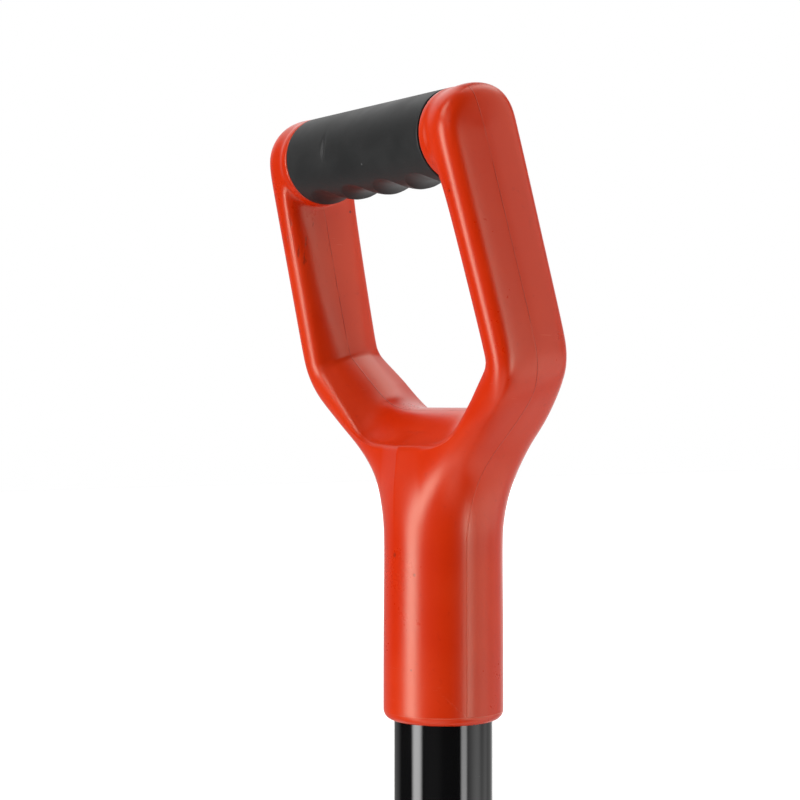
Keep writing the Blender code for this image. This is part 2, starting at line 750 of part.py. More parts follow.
def tread(name, side, group, material):
    x, y = tread_middle()
    bm = bmesh.new()
    bmesh.ops.create_cube(bm, size=1.0)
    bmesh.ops.scale(bm, vec=(TREAD_LENGTH, TREAD_DEPTH, TREAD_THICKNESS), verts=bm.verts)
    upright = [e for e in bm.edges if abs(e.verts[0].co.z - e.verts[1].co.z) > TREAD_THICKNESS / 2]
    bmesh.ops.bevel(bm, geom=upright, offset=TREAD_CORNER, segments=4, profile=0.5, affect='EDGES')
    item = finish_mesh(name, bm, group, material)
    item.location = (side * x, y, BLADE_TOP + FIT + TREAD_THICKNESS / 2)
    bevel = item.modifiers.new("Softened edges", 'BEVEL')
    bevel.width = TREAD_ROUND
    bevel.segments = 2
    bevel.limit_method = 'ANGLE'
    return item


def bead(name, points, radius, group, material):
    # Weld bead: a tube along a line of points
    curve = bpy.data.curves.new(name, 'CURVE')
    curve.dimensions = '3D'
    curve.bevel_depth = radius
    curve.bevel_resolution = 2
    curve.use_fill_caps = True
    spline = curve.splines.new('POLY')
    spline.points.add(len(points) - 1)
    for target, point in zip(spline.points, points):
        target.co = (*point, 1.0)
    return add_object(name, curve, group, material)


def socket_weld(group, material):
    # One bead down the socket's side, round its nose and up the other side, against the sheet's back
    reach = SOCKET_BEAD + FIT
    points = []
    highest = BLADE_TOP - SOCKET_BEAD * SOCKET_BEAD_INSET
    lowest = NOSE_CENTRE - SOCKET_NOSE - reach
    for i in range(SOCKET_BEAD_STEPS + 1):
        height = mix(highest, lowest, math.sin(math.pi / 2 * i / SOCKET_BEAD_STEPS))
        if height >= NOSE_CENTRE:
            around = socket_radius(height) + reach
        else:
            around = math.sqrt(max((SOCKET_NOSE + reach) ** 2 - (NOSE_CENTRE - height) ** 2, 0.0))
        y = blade_plane(around, height) + reach * SOCKET_BEAD_STAND
        if around <= abs(y):
            points.append((0.0, y, height))
            break
        x = math.sqrt(around ** 2 - y ** 2)
        y = blade_plane(x, height) + reach * SOCKET_BEAD_STAND
        points.append((math.sqrt(max(around ** 2 - y ** 2, 0.0)), y, height))
    mirrored = [(-x, y, z) for x, y, z in points if x > 0.0]
    line = points + list(reversed(mirrored))
    return bead("socket_weld", line, SOCKET_BEAD, group, material)


def tread_weld(name, side, group, material):
    # Bead in the corner between the tread's underside and the sheet's back
    middle, _ = tread_middle()
    half = TREAD_LENGTH / 2 - TREAD_CORNER
    height = BLADE_TOP - TREAD_BEAD
    points = []
    for i in range(TREAD_BEAD_STEPS + 1):
        x = mix(middle - half, middle + half, i / TREAD_BEAD_STEPS)
        points.append((side * x, blade_back(x, height) + (TREAD_BEAD + FIT) * TREAD_BEAD_STAND, height))
    return bead(name, points, TREAD_BEAD, group, material)


def rivet(name, shank, reach, seat, centre, direction, group, material):
    # Domed head outside, shank through both walls, and a swelling inside the tube
    head = shank * RIVET_HEAD_RATIO / 2
    radius = shank / 2
    inner_end = seat - reach
    bulge = radius * RIVET_SWELL
    swell = radius * RIVET_SWELL_LENGTH
    profile = [(0.0, seat + RIVET_HEAD_HEIGHT)]
    for i in range(1, DOME_STEPS + 1):
        angle = math.pi / 2 * i / DOME_STEPS
        profile.append((head * math.sin(angle), seat + RIVET_HEAD_HEIGHT * math.cos(angle)))
    profile += [(radius, seat), (radius, inner_end), (bulge, inner_end - swell * 0.37),
                (bulge * 0.8, inner_end - swell * 0.84), (0.0, inner_end - swell)]
    item = turned(name, profile, group, material, steps=RIVET_STEPS)
    point_along(item, centre, direction)
    return item


def rivet_hole(name, shank, centre, direction, depth, cutters):
    hole = cylinder_cutter(name, shank / 2 + FIT, depth, cutters, RIVET_STEPS)
    middle = Vector(centre) + Vector(direction).normalized() * depth / 2
    point_along(hole, middle, direction)
    return hole


def rivets(group, cutters, frame, tube, socket, material):
    back = (0.0, 1.0, 0.0)
    inner_wall = SHAFT_RADIUS - SHAFT_WALL
    centre = (0.0, 0.0, COLLAR_RIVET_HEIGHT)
    seat = COLLAR_RADIUS + FIT
    reach = seat - inner_wall + FIT
    rivet("collar_rivet", COLLAR_RIVET, reach, seat, centre, back, group, material)
    hole = rivet_hole("collar_rivet_hole", COLLAR_RIVET, centre, back, seat + CUT_PAST, cutters)
    cut(frame, hole)
    cut(tube, hole)
    seat = SOCKET_RADIUS + FIT
    reach = seat - inner_wall + FIT
    for i, place in enumerate(("upper", "lower")):
        height = SOCKET_TOP - SOCKET_RIVET_FROM_TOP - SOCKET_RIVET_SPACING * i
        centre = (0.0, 0.0, height)
        name = f"socket_rivet_{place}"
        rivet(name, SOCKET_RIVET, reach, seat, centre, back, group, material)
        hole = rivet_hole(f"{name}_hole", SOCKET_RIVET, centre, back, seat + CUT_PAST, cutters)
        cut(tube, hole)
        cut(socket, hole)


def build():
    clear_scene()
    group = make_collection(COLLECTION)
    cutters = make_collection("cutters")
    orange = make_material("orange_red_plastic", (0.80, 0.07, 0.02), 0.35)
    rubber = make_material("charcoal_rubber", (0.03, 0.03, 0.03), 0.6)
    gloss = make_material("black_gloss_paint", (0.006, 0.006, 0.007), 0.12)
    satin = make_material("black_satin_paint", (0.012, 0.012, 0.013), 0.35)
    zinc = make_material("zinc_plated_steel", (0.55, 0.55, 0.56), 0.35, 1.0)
    frame = handle_frame(group, cutters, orange)
    add_core(frame, cutters)
    cut_bore(frame, cutters)
    grip_sleeve(group, rubber)
    tube = shaft(group, gloss)
    socket = blade_socket(group, satin)
    blade(group, cutters, satin)
    for name, side in (("left", -1.0), ("right", 1.0)):
        tread(f"{name}_tread", side, group, satin)
        tread_weld(f"{name}_tread_weld", side, group, satin)
    socket_weld(group, satin)
    rivets(group, cutters, frame, tube, socket, zinc)
    join_flats(frame)


build()
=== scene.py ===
from math import cos, exp, pi, radians, sin, sqrt, tan

import bmesh
import bpy
from mathutils import Matrix, Vector


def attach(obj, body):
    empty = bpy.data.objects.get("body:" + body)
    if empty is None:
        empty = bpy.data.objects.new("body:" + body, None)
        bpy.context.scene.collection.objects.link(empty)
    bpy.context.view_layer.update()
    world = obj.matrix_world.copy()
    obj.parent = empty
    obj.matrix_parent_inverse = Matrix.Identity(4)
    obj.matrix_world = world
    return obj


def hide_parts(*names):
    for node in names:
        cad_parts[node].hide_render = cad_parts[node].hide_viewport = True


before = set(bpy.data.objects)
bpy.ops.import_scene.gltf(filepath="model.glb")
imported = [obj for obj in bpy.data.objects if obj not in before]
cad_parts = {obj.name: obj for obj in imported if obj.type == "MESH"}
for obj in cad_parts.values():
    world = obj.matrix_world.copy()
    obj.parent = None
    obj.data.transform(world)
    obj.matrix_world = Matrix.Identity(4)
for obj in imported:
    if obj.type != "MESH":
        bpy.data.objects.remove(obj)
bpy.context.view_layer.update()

# Digging spade. Metres, +Z up the shaft, +X along the grip, the digging face looks along -Y.
# The origin is on the shaft's axis, level with the rim of the handle's collar.
print("spade: frame loaded,", len(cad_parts), "CAD nodes")

fit = 0.0003            # gap between pieces that touch
shaftRadius = 0.0175
boreRadius = shaftRadius + fit


def ease(value, start, end):
    t = min(max((value - start) / (end - start), 0.0), 1.0)
    return t * t * (3.0 - 2.0 * t)


def mix(a, b, t):
    return a + (b - a) * t


def addFace(bm, points):
    corners = []
    for point in points:
        if all((point - other).length > 1e-7 for other in corners):
            corners.append(point)
    if len(corners) > 2:
        bm.faces.new([bm.verts.new(c) for c in corners])


def skin(bm, rows, closed=False):
    # faces between rows of points
    for low, high in zip(rows, rows[1:]):
        for i in range(len(low) - (0 if closed else 1)):
            j = (i + 1) % len(low)
            addFace(bm, (low[i], low[j], high[j], high[i]))


def place(name, bm, material, node, merge=1e-6, outwards=True, sharp=None):
    # makes the mesh a finished piece: edges above the angle "sharp" stay crisp
    if merge:
        bmesh.ops.remove_doubles(bm, verts=bm.verts, dist=merge)
    if outwards:
        bmesh.ops.recalc_face_normals(bm, faces=bm.faces)
    mesh = bpy.data.meshes.new(name)
    bm.to_mesh(mesh)
    bm.free()
    mesh.shade_smooth()
    if sharp:
        mesh.set_sharp_from_angle(angle=radians(sharp))
    piece = bpy.data.objects.new(name, mesh)
    bpy.context.scene.collection.objects.link(piece)
    mesh.materials.append(material)
    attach(piece, "root")
    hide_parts(node)
    return piece


def fan(whole, steps, first=0):
    # equal steps through an angle
    return [whole * i / steps for i in range(first, steps + 1)]


def turnedRows(profile, count):
    # rings round the shaft's axis
    turns = fan(2 * pi, count)[:-1]
    return [[Vector((radius * sin(turn), -radius * cos(turn), height)) for turn in turns]
            for radius, height in profile]


def newMaterial(name, colour, roughness, metallic=0.0, ior=1.5):
    material = bpy.data.materials.new(name)
    material.use_nodes = True
    material.diffuse_color = (*colour, 1.0)
    shader = material.node_tree.nodes["Principled BSDF"]
    shader.inputs["Base Color"].default_value = (*colour, 1.0)
    for key, value in (("Roughness", roughness), ("Metallic", metallic), ("IOR", ior)):
        shader.inputs[key].default_value = value
    return material, shader


class Nodes:
    # shorthand for wiring the nodes of a material or of the sky
    def __init__(self, tree, space="Object"):
        self.tree = tree
        self.where = self.add("ShaderNodeTexCoord").outputs[space]

    def add(self, kind, **values):
        node = self.tree.nodes.new(kind)
        for key, value in values.items():
            setattr(node, key, value)
        return node

    def link(self, output, target):
        self.tree.links.new(output, target)
        return output

    def stretch(self, scale, turn=(0.0, 0.0, 0.0)):
        mapping = self.add("ShaderNodeMapping")
        mapping.inputs["Scale"].default_value = scale
        mapping.inputs["Rotation"].default_value = turn
        self.link(self.where, mapping.inputs["Vector"])
        return mapping.outputs["Vector"]

    def noise(self, scale, detail=3.0, rough=0.5, vector=None):
        node = self.add("ShaderNodeTexNoise")
        node.inputs["Scale"].default_value = scale
        node.inputs["Detail"].default_value = detail
        node.inputs["Roughness"].default_value = rough
        self.link(vector or self.where, node.inputs["Vector"])
        return node.outputs["Fac"]

    def spots(self, scale, size, soft):
        # 1 inside small scattered dots, 0 outside
        node = self.add("ShaderNodeTexVoronoi")
        node.inputs["Scale"].default_value = scale
        self.link(self.where, node.inputs["Vector"])
        return self.span(node.outputs["Distance"], size + soft, size)

    def span(self, value, low, high, toLow=0.0, toHigh=1.0):
        node = self.add("ShaderNodeMapRange", interpolation_type='SMOOTHSTEP')
        for socket, number in enumerate((low, high, toLow, toHigh), 1):
            node.inputs[socket].default_value = number
        self.link(value, node.inputs["Value"])
        return node.outputs["Result"]

    def sum(self, a, b, operation='ADD', clamp=False):
        node = self.add("ShaderNodeMath", operation=operation, use_clamp=clamp)
        for value, target in ((a, node.inputs[0]), (b, node.inputs[1])):
            if isinstance(value, (int, float)):
                target.default_value = value
            else:
                self.link(value, target)
        return node.outputs[0]

    def times(self, a, b):
        return self.sum(a, b, 'MULTIPLY')

    def colours(self, amount, first, second):
        node = self.add("ShaderNodeMix", data_type='RGBA')
        self.link(amount, node.inputs["Factor"])
        for value, target in ((first, node.inputs[6]), (second, node.inputs[7])):
            if isinstance(value, tuple):
                target.default_value = (*value, 1.0)
            else:
                self.link(value, target)
        return node.outputs[2]

    def near(self, point, radius):
        # 1 at a point of the object, 0 beyond the radius
        node = self.add("ShaderNodeVectorMath", operation='DISTANCE')
        self.link(self.where, node.inputs[0])
        node.inputs[1].default_value = point
        return self.span(node.outputs["Value"], radius, radius * 0.35)

    def parts(self):
        node = self.add("ShaderNodeSeparateXYZ")
        self.link(self.where, node.inputs[0])
        return node.outputs

    def attribute(self, name):
        return self.add("ShaderNodeAttribute", attribute_name=name).outputs["Fac"]

    def bump(self, height, distance, strength=1.0, after=None):
        node = self.add("ShaderNodeBump")
        node.inputs["Distance"].default_value = distance
        node.inputs["Strength"].default_value = strength
        self.link(height, node.inputs["Height"])
        if after is not None:
            self.link(after, node.inputs["Normal"])
        return node.outputs["Normal"]

    def finish(self, colour, roughness, normal, metallic=None):
        inputs = self.tree.nodes["Principled BSDF"].inputs
        for key, value in (("Base Color", colour), ("Roughness", roughness), ("Normal", normal),
                           ("Metallic", metallic)):
            if value is not None:
                self.link(value, inputs[key])


orangeLook = {
    "base": (0.57, 0.022, 0.0006),
    "pale": (0.61, 0.030, 0.0022),     # slightly bleached patches
    "deep": (0.42, 0.012, 0.0008),
    "sheen": (1.0, 1.0, 0.8),          # the highlights come back a little warm
    "speck": (0.10, 0.012, 0.006),
    "scuff": (0.74, 0.16, 0.09),
    "roughness": (0.27, 0.33), "ior": 1.46,
    "clouds": 26.0, "grain": 420.0, "peel": 1500.0, "speckScale": 85.0, "hairScale": 70.0,   # noise scales
    "grainDepth": 0.00002, "lineDepth": 0.00009, "pitDepth": 0.00008, "waveDepth": 0.0012,
    # the mould's lines: width in mm each side, and the painted light along them: a painted highlight on the
    # collar where light catches the edge, painted shade in the fine step higher up
    "lineWidth": 0.24, "lineHighlight": (0.68, 0.130, 0.0700), "lineShade": (0.26, 0.012, 0.0020),
    "highlightToShade": (0.055, 0.100),       # heights between which the line's painted highlight turns to painted shade
    "scuffed": ((-0.049, -0.0300, 0.166), 0.015),    # dark rubbed streaks on the left arm's front edge
    "chips": (((0.0004, -0.0213, 0.0553), 0.0012), ((0.0096, -0.0190, 0.0489), 0.0008)),
}


def orangePlastic():
    look = orangeLook
    material, shader = newMaterial("orange_red_plastic_finish", look["base"], 0.30, ior=look["ior"])
    shader.inputs["Specular Tint"].default_value = (*look["sheen"], 1.0)
    n = Nodes(material.node_tree)
    broad = n.noise(look["clouds"], 2.0, 0.55)
    fine = n.noise(look["grain"], 3.0, 0.6)
    peel = n.noise(look["peel"], 2.0)
    colour = n.colours(n.span(broad, 0.38, 0.68), look["base"], look["pale"])
    colour = n.colours(n.span(fine, 0.60, 0.80, 0.0, 0.35), colour, look["deep"])
    seam = n.sum(n.attribute("seamDistance"), 0.0, 'ABSOLUTE')
    broken = n.span(n.noise(60.0, 2.0, 0.6), 0.35, 0.55, 0.25, 1.0)
    line = n.times(n.span(seam, look["lineWidth"], 0.02), broken)
    # the mould lines are painted light: a painted highlight low on the collar, painted shade along the step on
    # the arms
    lineLightShade = n.colours(n.span(n.parts()["Z"], *look["highlightToShade"]), look["lineHighlight"], look["lineShade"])
    colour = n.colours(n.times(line, 0.6), colour, lineLightShade)
    specks = n.times(n.spots(look["speckScale"], 0.028, 0.030), n.span(n.noise(34.0, 1.0), 0.56, 0.62))
    colour = n.colours(n.times(specks, 0.8), colour, look["speck"])
    streaks = n.noise(520.0, 3.0, 0.6, n.stretch((1.0, 1.0, 0.22)))
    rubbed = n.times(n.span(streaks, 0.60, 0.68), n.near(*look["scuffed"]))
    for point, radius in look["chips"]:
        rubbed = n.sum(rubbed, n.near(point, radius), 'MAXIMUM')
    colour = n.colours(n.times(rubbed, 0.50), colour, look["speck"])
    hairs = n.noise(look["hairScale"], 2.0, 0.7, n.stretch((1.0, 1.0, 14.0), (0.5, 0.3, 0.0)))
    scratches = n.times(n.span(hairs, 0.700, 0.735), n.span(n.noise(19.0, 1.0), 0.50, 0.60))
    colour = n.colours(n.times(scratches, 0.30), colour, look["scuff"])
    rough = n.span(n.sum(broad, n.times(fine, 0.4)), 0.45, 1.0, *look["roughness"])
    rough = n.sum(rough, n.times(scratches, 0.12))
    height = n.sum(n.times(peel, 0.5), n.times(fine, 0.9))
    pits = n.times(n.sum(specks, rubbed, 'MAXIMUM'), -1.0)
    normal = n.bump(height, look["grainDepth"], 0.55)
    normal = n.bump(line, look["lineDepth"], 0.8, normal)
    normal = n.bump(pits, look["pitDepth"], 0.6, normal)
    normal = n.bump(broad, look["waveDepth"], 0.10, normal)
    n.finish(colour, rough, normal)
    return material


rubberLook = {
    "base": (0.0105, 0.0108, 0.0110),
    "dusty": (0.0170, 0.0172, 0.0172),
    "lint": (0.20, 0.20, 0.20),
    "roughness": (0.42, 0.54), "gloss": 0.36,
    "clouds": 45.0, "grain": 2200.0, "lintScale": 120.0, "grainDepth": 0.00003, "waveDepth": 0.00006,
}


def charcoalRubber():
    look = rubberLook
    material, shader = newMaterial("charcoal_rubber_finish", look["base"], 0.5)
    shader.inputs["Specular IOR Level"].default_value = look["gloss"]
    n = Nodes(material.node_tree)
    broad = n.noise(look["clouds"], 3.0, 0.6)
    colour = n.colours(n.span(broad, 0.42, 0.75), look["base"], look["dusty"])
    dots = n.times(n.spots(look["lintScale"], 0.030, 0.02), n.span(n.noise(50.0, 1.0), 0.56, 0.60))
    colour = n.colours(n.times(dots, 0.6), colour, look["lint"])
    rough = n.span(broad, 0.3, 0.7, *look["roughness"])
    normal = n.bump(n.noise(look["grain"], 2.0), look["grainDepth"], 0.5)
    normal = n.bump(n.noise(300.0, 2.0), look["waveDepth"], 0.25, normal)
    n.finish(colour, rough, normal)
    return material


paintLook = {
    "shaft": (0.0045, 0.0045, 0.0048), "dust": (0.12, 0.12, 0.12), "shaftRoughness": (0.06, 0.10),
    "satin": (0.012, 0.012, 0.013), "soil": (0.055, 0.045, 0.036), "satinRoughness": (0.36, 0.48),
    "steel": (0.27, 0.265, 0.26), "steelDull": (0.15, 0.145, 0.14),
    "raggedness": 0.022, "bareEdge": (0.0215, 0.0185), "rubbedUp": (0.10, 0.014),   # metres from the tip
}


def shaftPaint():
    look = paintLook
    material, _ = newMaterial("black_gloss_paint_finish", look["shaft"], 0.08)
    n = Nodes(material.node_tree)
    broad = n.noise(30.0, 2.0)
    hairs = n.noise(220.0, 2.0, 0.6, n.stretch((1.0, 1.0, 0.04)))
    dust = n.times(n.spots(160.0, 0.024, 0.016), n.span(n.noise(40.0, 1.0), 0.57, 0.60))
    colour = n.colours(n.times(dust, 0.7), look["shaft"], look["dust"])
    rough = n.sum(n.span(broad, 0.35, 0.7, *look["shaftRoughness"]), n.span(hairs, 0.62, 0.74, 0.0, 0.06))
    n.finish(colour, rough, n.bump(n.noise(500.0, 2.0), 0.00001, 0.35))
    return material


def satinPaint(name, wear=False):
    look = paintLook
    material, _ = newMaterial(name, look["satin"], 0.38)
    n = Nodes(material.node_tree)
    broad = n.noise(22.0, 3.0, 0.6)
    colour = n.colours(n.span(broad, 0.48, 0.80, 0.0, 0.22), look["satin"], look["soil"])
    rough = n.span(broad, 0.3, 0.75, *look["satinRoughness"])
    normal = n.bump(n.noise(1400.0, 2.0, 0.6), 0.00003, 0.45)
    bare = None
    if wear:
        # the ground edge is bare steel, and the paint above it is chipped and rubbed
        fromTip = n.attribute("fromTip")
        ragged = n.times(n.noise(120.0, 4.0, 0.65), look["raggedness"])
        streaks = n.noise(260.0, 4.0, 0.65, n.stretch((1.0, 1.0, 0.10)))
        rub = n.times(n.span(streaks, 0.56, 0.74), n.span(fromTip, *look["rubbedUp"]))
        bare = n.sum(n.span(n.sum(fromTip, ragged), *look["bareEdge"]), n.times(rub, 0.55), 'ADD', True)
        steel = n.colours(n.span(streaks, 0.35, 0.65), look["steel"], look["steelDull"])
        colour = n.colours(bare, colour, steel)
        rough = n.sum(rough, n.times(bare, 0.06))
        normal = n.bump(n.times(bare, -1.0), 0.00008, 0.7, normal)
    n.finish(colour, rough, normal, bare)
    return material


zincLook = {"base": (0.55, 0.55, 0.56), "bright": (0.58, 0.58, 0.58), "dull": (0.40, 0.39, 0.37),
            "roughness": (0.28, 0.46)}


def zincPlate():
    look = zincLook
    material, _ = newMaterial("zinc_plated_steel_finish", look["base"], 0.35, 1.0)
    n = Nodes(material.node_tree)
    broad = n.noise(260.0, 3.0, 0.6)
    colour = n.colours(n.span(broad, 0.4, 0.7), look["bright"], look["dull"])
    rough = n.span(broad, 0.3, 0.7, *look["roughness"])
    n.finish(colour, rough, n.bump(n.noise(900.0, 2.0), 0.00003, 0.4))
    return material


orange = orangePlastic()
rubber = charcoalRubber()
glossPaint = shaftPaint()
satin = satinPaint("black_satin_paint_finish")
bladeFinish = satinPaint("black_satin_blade_finish", wear=True)
zinc = zincPlate()
print("spade: materials made")


# handle: collar, arms and bosses in one moulding
head = {
    "lean": radians(13.65), "leanStart": 0.081, "leanEnd": 0.113,
    "gripHeight": 0.1992, "width": 0.1178, "armThickness": 0.01265, "sideCrown": 0.0009,
    "armDepth": 0.0303, "armTopDepth": 0.0317, "neckEnd": 0.1295, "splay": radians(4.07),
    "floorHeight": 0.0995, "setBack": 0.0006, "floorWidth": 0.057,
    "innerSlope": radians(48.0), "innerElbow": 0.0065,
    "outerSlope": radians(41.5), "shoulder": 0.048, "outerElbow": 0.023,
    "armEdge": 0.0049, "floorEdge": 0.00235, "squareness": 2.95,
    "collarWall": 0.0035, "collarHeight": 0.0585, "lipHeight": 0.0034, "lipEdge": 0.0007,
    "boreDepth": 0.058, "gripRadius": 0.01575, "gripLength": 0.0844, "coreRadius": 0.012, "bossChamfer": 0.0004,
    # the opening's floor at its front edge, middle and back edge: height against the above, corner radius
    "floorLine": {-1: (-0.0034, 0.018), 0: (0.0, 0.022), 1: (0.0010, 0.024)},
    # how far the opening's wall swells between its edges, and the share of that reached half way in
    "floorCrown": 0.0072, "slopeCrown": 0.0030, "crownShare": 0.66, "crownAt": 0.46,
    "columns": 5, "quarterSteps": 4, "smoothing": 4,
    # parting line: how far in front of the middle plane on collar and arms, and the heights between
    "seamLow": 0.0045, "seamHigh": 0.0010, "seamMoves": (0.080, 0.113),
    "rimLine": -0.0003,                # fine line round the collar where its lip starts, painted as a thin highlight
    # soft upright fold on the front of the neck, just below the floor
    "creaseRise": 0.0016, "creaseReach": 0.012, "creaseFrom": 0.055,
}
collarRadius = boreRadius + head["collarWall"]
upArm = pi / 2 + head["splay"]


def meet(p, angleP, q, angleQ):
    dp = Vector((cos(angleP), sin(angleP)))
    dq = Vector((cos(angleQ), sin(angleQ)))
    gap = Vector(q) - Vector(p)
    return Vector(p) + dp * ((gap.x * dq.y - gap.y * dq.x) / (dp.x * dq.y - dp.y * dq.x))


def roundedCorner(corner, angleIn, angleOut, radius, steps):
    turn = angleOut - angleIn
    side = 1.0 if turn > 0 else -1.0
    start = corner - Vector((cos(angleIn), sin(angleIn))) * radius * tan(abs(turn) / 2)
    centre = start + Vector((-sin(angleIn), cos(angleIn))) * radius * side
    points = []
    for i in range(steps + 1):
        angle = angleIn + turn * i / steps
        points.append((centre + Vector((sin(angle), -cos(angle))) * radius * side, angle))
    return points


def armLine(height, inner):
    outside = head["width"] / 2 + (head["gripHeight"] - height) * tan(head["splay"])
    return outside - head["armThickness"] / cos(head["splay"]) if inner else outside


def halfDepth(height):
    arm = mix(head["armDepth"] / 2, head["armTopDepth"] / 2, ease(height, head["neckEnd"], head["gripHeight"]))
    return mix(collarRadius, arm, ease(height, head["collarHeight"], head["neckEnd"]))


def cornerRadius(height):
    return mix(collarRadius, head["armEdge"], ease(height, head["collarHeight"], head["neckEnd"] - 0.022))


def innerEdge(height):
    return mix(head["floorEdge"], head["armEdge"], ease(height, head["floorHeight"] + 0.012, head["neckEnd"]))


def crown(height, share):
    return head["sideCrown"] * ease(height, head["collarHeight"], head["neckEnd"]) * share


def lean(point):
    # sets the neck back a little, then bends the spine forwards
    x, y, height = point
    start, end = head["leanStart"], head["leanEnd"]
    y += head["setBack"] * ease(height, head["collarHeight"], head["floorHeight"]) \
        * (1.0 - ease(height, head["floorHeight"], head["neckEnd"]))
    if height <= start:
        return Vector((x, y, height))
    radius = (end - start) / head["lean"]
    angle = min((height - start) / radius, head["lean"])
    beyond = max(height - end, 0.0)
    spineY = -radius * (1.0 - cos(angle)) - beyond * sin(angle)
    spineZ = start + radius * sin(angle) + beyond * cos(angle)
    return Vector((x, spineY + y * cos(angle), spineZ + y * sin(angle)))


def innerOutline(side):
    # the hand opening's edge, from the middle of its floor to the arm above the elbow
    rise, radius = head["floorLine"][side]
    floor = head["floorHeight"]
    corner = Vector((head["floorWidth"] / 2 + rise / tan(head["innerSlope"]), floor + rise))
    elbow = meet(corner, head["innerSlope"], (armLine(floor, True), floor), upArm)
    floorArc = roundedCorner(corner, 0.0, head["innerSlope"], radius, 2)
    elbowArc = roundedCorner(elbow, head["innerSlope"], upArm, head["innerElbow"], 3)
    middle = (floorArc[-1][0] + elbowArc[0][0]) / 2
    start = [(Vector((x, floor + rise)), 0.0) for x in (0.0, floorArc[0][0].x / 2)]
    return start + floorArc + [(middle, head["innerSlope"])] + elbowArc


def outerOutline():
    straight = pi / 2
    rise = head["shoulder"] * tan((straight - head["outerSlope"]) / 2)
    shoulder = Vector((collarRadius, head["collarHeight"] + rise))
    floor = head["floorHeight"]
    elbow = meet(shoulder, head["outerSlope"], (armLine(floor, False), floor), upArm)
    shoulderArc = roundedCorner(shoulder, straight, head["outerSlope"], head["shoulder"], 6)
    elbowArc = roundedCorner(elbow, head["outerSlope"], upArm, head["outerElbow"], 3)
    after = shoulderArc[-1][0].lerp(elbowArc[0][0], 0.33)
    before = shoulderArc[-1][0].lerp(elbowArc[0][0], 0.67)
    return shoulderArc + [(after, head["outerSlope"]), (before, head["outerSlope"])] + elbowArc


def frontRow(inner, innerAngle, edge, outer, outerAngle, roundRadius):
    innerSide = Vector((sin(innerAngle), -cos(innerAngle)))
    outerSide = Vector((-sin(outerAngle), cos(outerAngle)))
    flatStart = inner + innerSide * edge
    flatEnd = outer + outerSide * roundRadius
    depth = halfDepth(outer.y)
    flat = (flatEnd - flatStart).length
    arc = roundRadius * pi / 2
    side = max(depth - roundRadius, 1e-6)
    total = flat + arc + side
    row = []
    for i in range(head["columns"] + 1):
        run = total * i / head["columns"]
        if run <= flat:
            spot = flatStart.lerp(flatEnd, run / flat if flat > 1e-9 else 0.0)
            share = 1.0
        elif run <= flat + arc:
            turn = (run - flat) / roundRadius
            spot = flatEnd - outerSide * roundRadius * sin(turn)
            share = 1.0 - roundRadius * (1.0 - cos(turn)) / depth
        else:
            share = (total - run) / depth
            spot = outer - outerSide * crown(outer.y, 1.0 - (total - run) / side)
        row.append(Vector((spot.x, -share * halfDepth(spot.y), spot.y)))
    return row


def innerRow(inner, innerAngle, edge, centre):
    side = Vector((sin(innerAngle), -cos(innerAngle)))
    row = []
    for turn in (0.0, pi / 4, pi / 2):
        spot = inner + side * edge * (1.0 - sin(turn))
        row.append(Vector((spot.x, -halfDepth(spot.y) + edge * (1.0 - cos(turn)), spot.y)))
    low, high = head["floorHeight"], head["neckEnd"]
    bulge = mix(head["floorCrown"], head["slopeCrown"], ease(centre.y, low, low + 0.010)) \
        * (1.0 - ease(centre.y, high - 0.012, high + 0.006))
    middle = centre - side * (crown(centre.y, 1.0) + bulge)
    half = inner.lerp(middle, head["crownShare"])
    row.append(Vector((half.x, -halfDepth(half.y) * head["crownAt"], half.y)))
    row.append(Vector((middle.x, 0.0, middle.y)))
    return row


def collarRows():
    # from the top of the bore, down it, round the lip and up the outside
    scale = 3.0 / (2.0 + cos(pi / 2 / head["columns"]))
    lip = head["lipHeight"]
    lipRadius = boreRadius + head["lipEdge"]
    drop = collarRadius - lipRadius
    top = head["boreDepth"] + fit
    levels = [(0.0, top), (boreRadius * 0.9, top), (boreRadius, top), (boreRadius, top - 0.002),
              (boreRadius, 0.02), (boreRadius, -lip + 0.0012), (boreRadius, -lip + 0.0003),
              (boreRadius + 0.0002, -lip), (lipRadius, -lip)]
    for turn in (0.3, 0.65, 0.9, 1.0):
        levels.append((lipRadius + drop * sin(turn * pi / 2), -lip * cos(turn * pi / 2)))
    levels += [(collarRadius, 0.0004), (collarRadius, 0.003), (collarRadius, head["collarHeight"] * 0.5)]
    rows = []
    for radius, height in levels:
        row = []
        for i in range(head["columns"] + 1):
            angle = pi / 2 * i / head["columns"]
            row.append(Vector((radius * scale * sin(angle), -radius * scale * cos(angle), height)))
        rows.append(row)
    return rows


def armRows(height):
    # the arm's front and inner rows at one height
    inner, outer = Vector((armLine(height, True), height)), Vector((armLine(height, False), height))
    return (frontRow(inner, upArm, head["armEdge"], outer, upArm, head["armEdge"]),
            innerRow(inner, upArm, head["armEdge"], inner))


def headRows(back):
    inner, centreLine, outer = innerOutline(back), innerOutline(0), outerOutline()
    fronts, walls, neck = collarRows(), [], 3
    for i in range(neck):
        spot, angle = outer[i]
        centre = Vector((0.0, mix(head["collarHeight"], inner[0][0].y - head["floorEdge"], i / neck)))
        fronts.append(frontRow(centre, 0.0, 0.0, spot, angle, cornerRadius(spot.y)))
    for (spot, angle), (centre, _), (side, sideAngle) in zip(inner, centreLine, outer[neck:]):
        edge = innerEdge(spot.y)
        fronts.append(frontRow(spot, angle, edge, side, sideAngle, cornerRadius(side.y)))
        walls.append(innerRow(spot, angle, edge, centre))
    underBoss = head["gripHeight"] - head["gripRadius"] - 0.004
    for height in (mix(inner[-1][0].y, underBoss, 0.5), underBoss):
        front, wall = armRows(height)
        fronts.append(front)
        walls.append(wall)
    return fronts, walls


def bossRing(radius, xAt, angles):
    points = []
    for angle in angles:
        height = head["gripHeight"] + radius * sin(angle)
        points.append(Vector((xAt(height), -radius * cos(angle), height)))
    return points


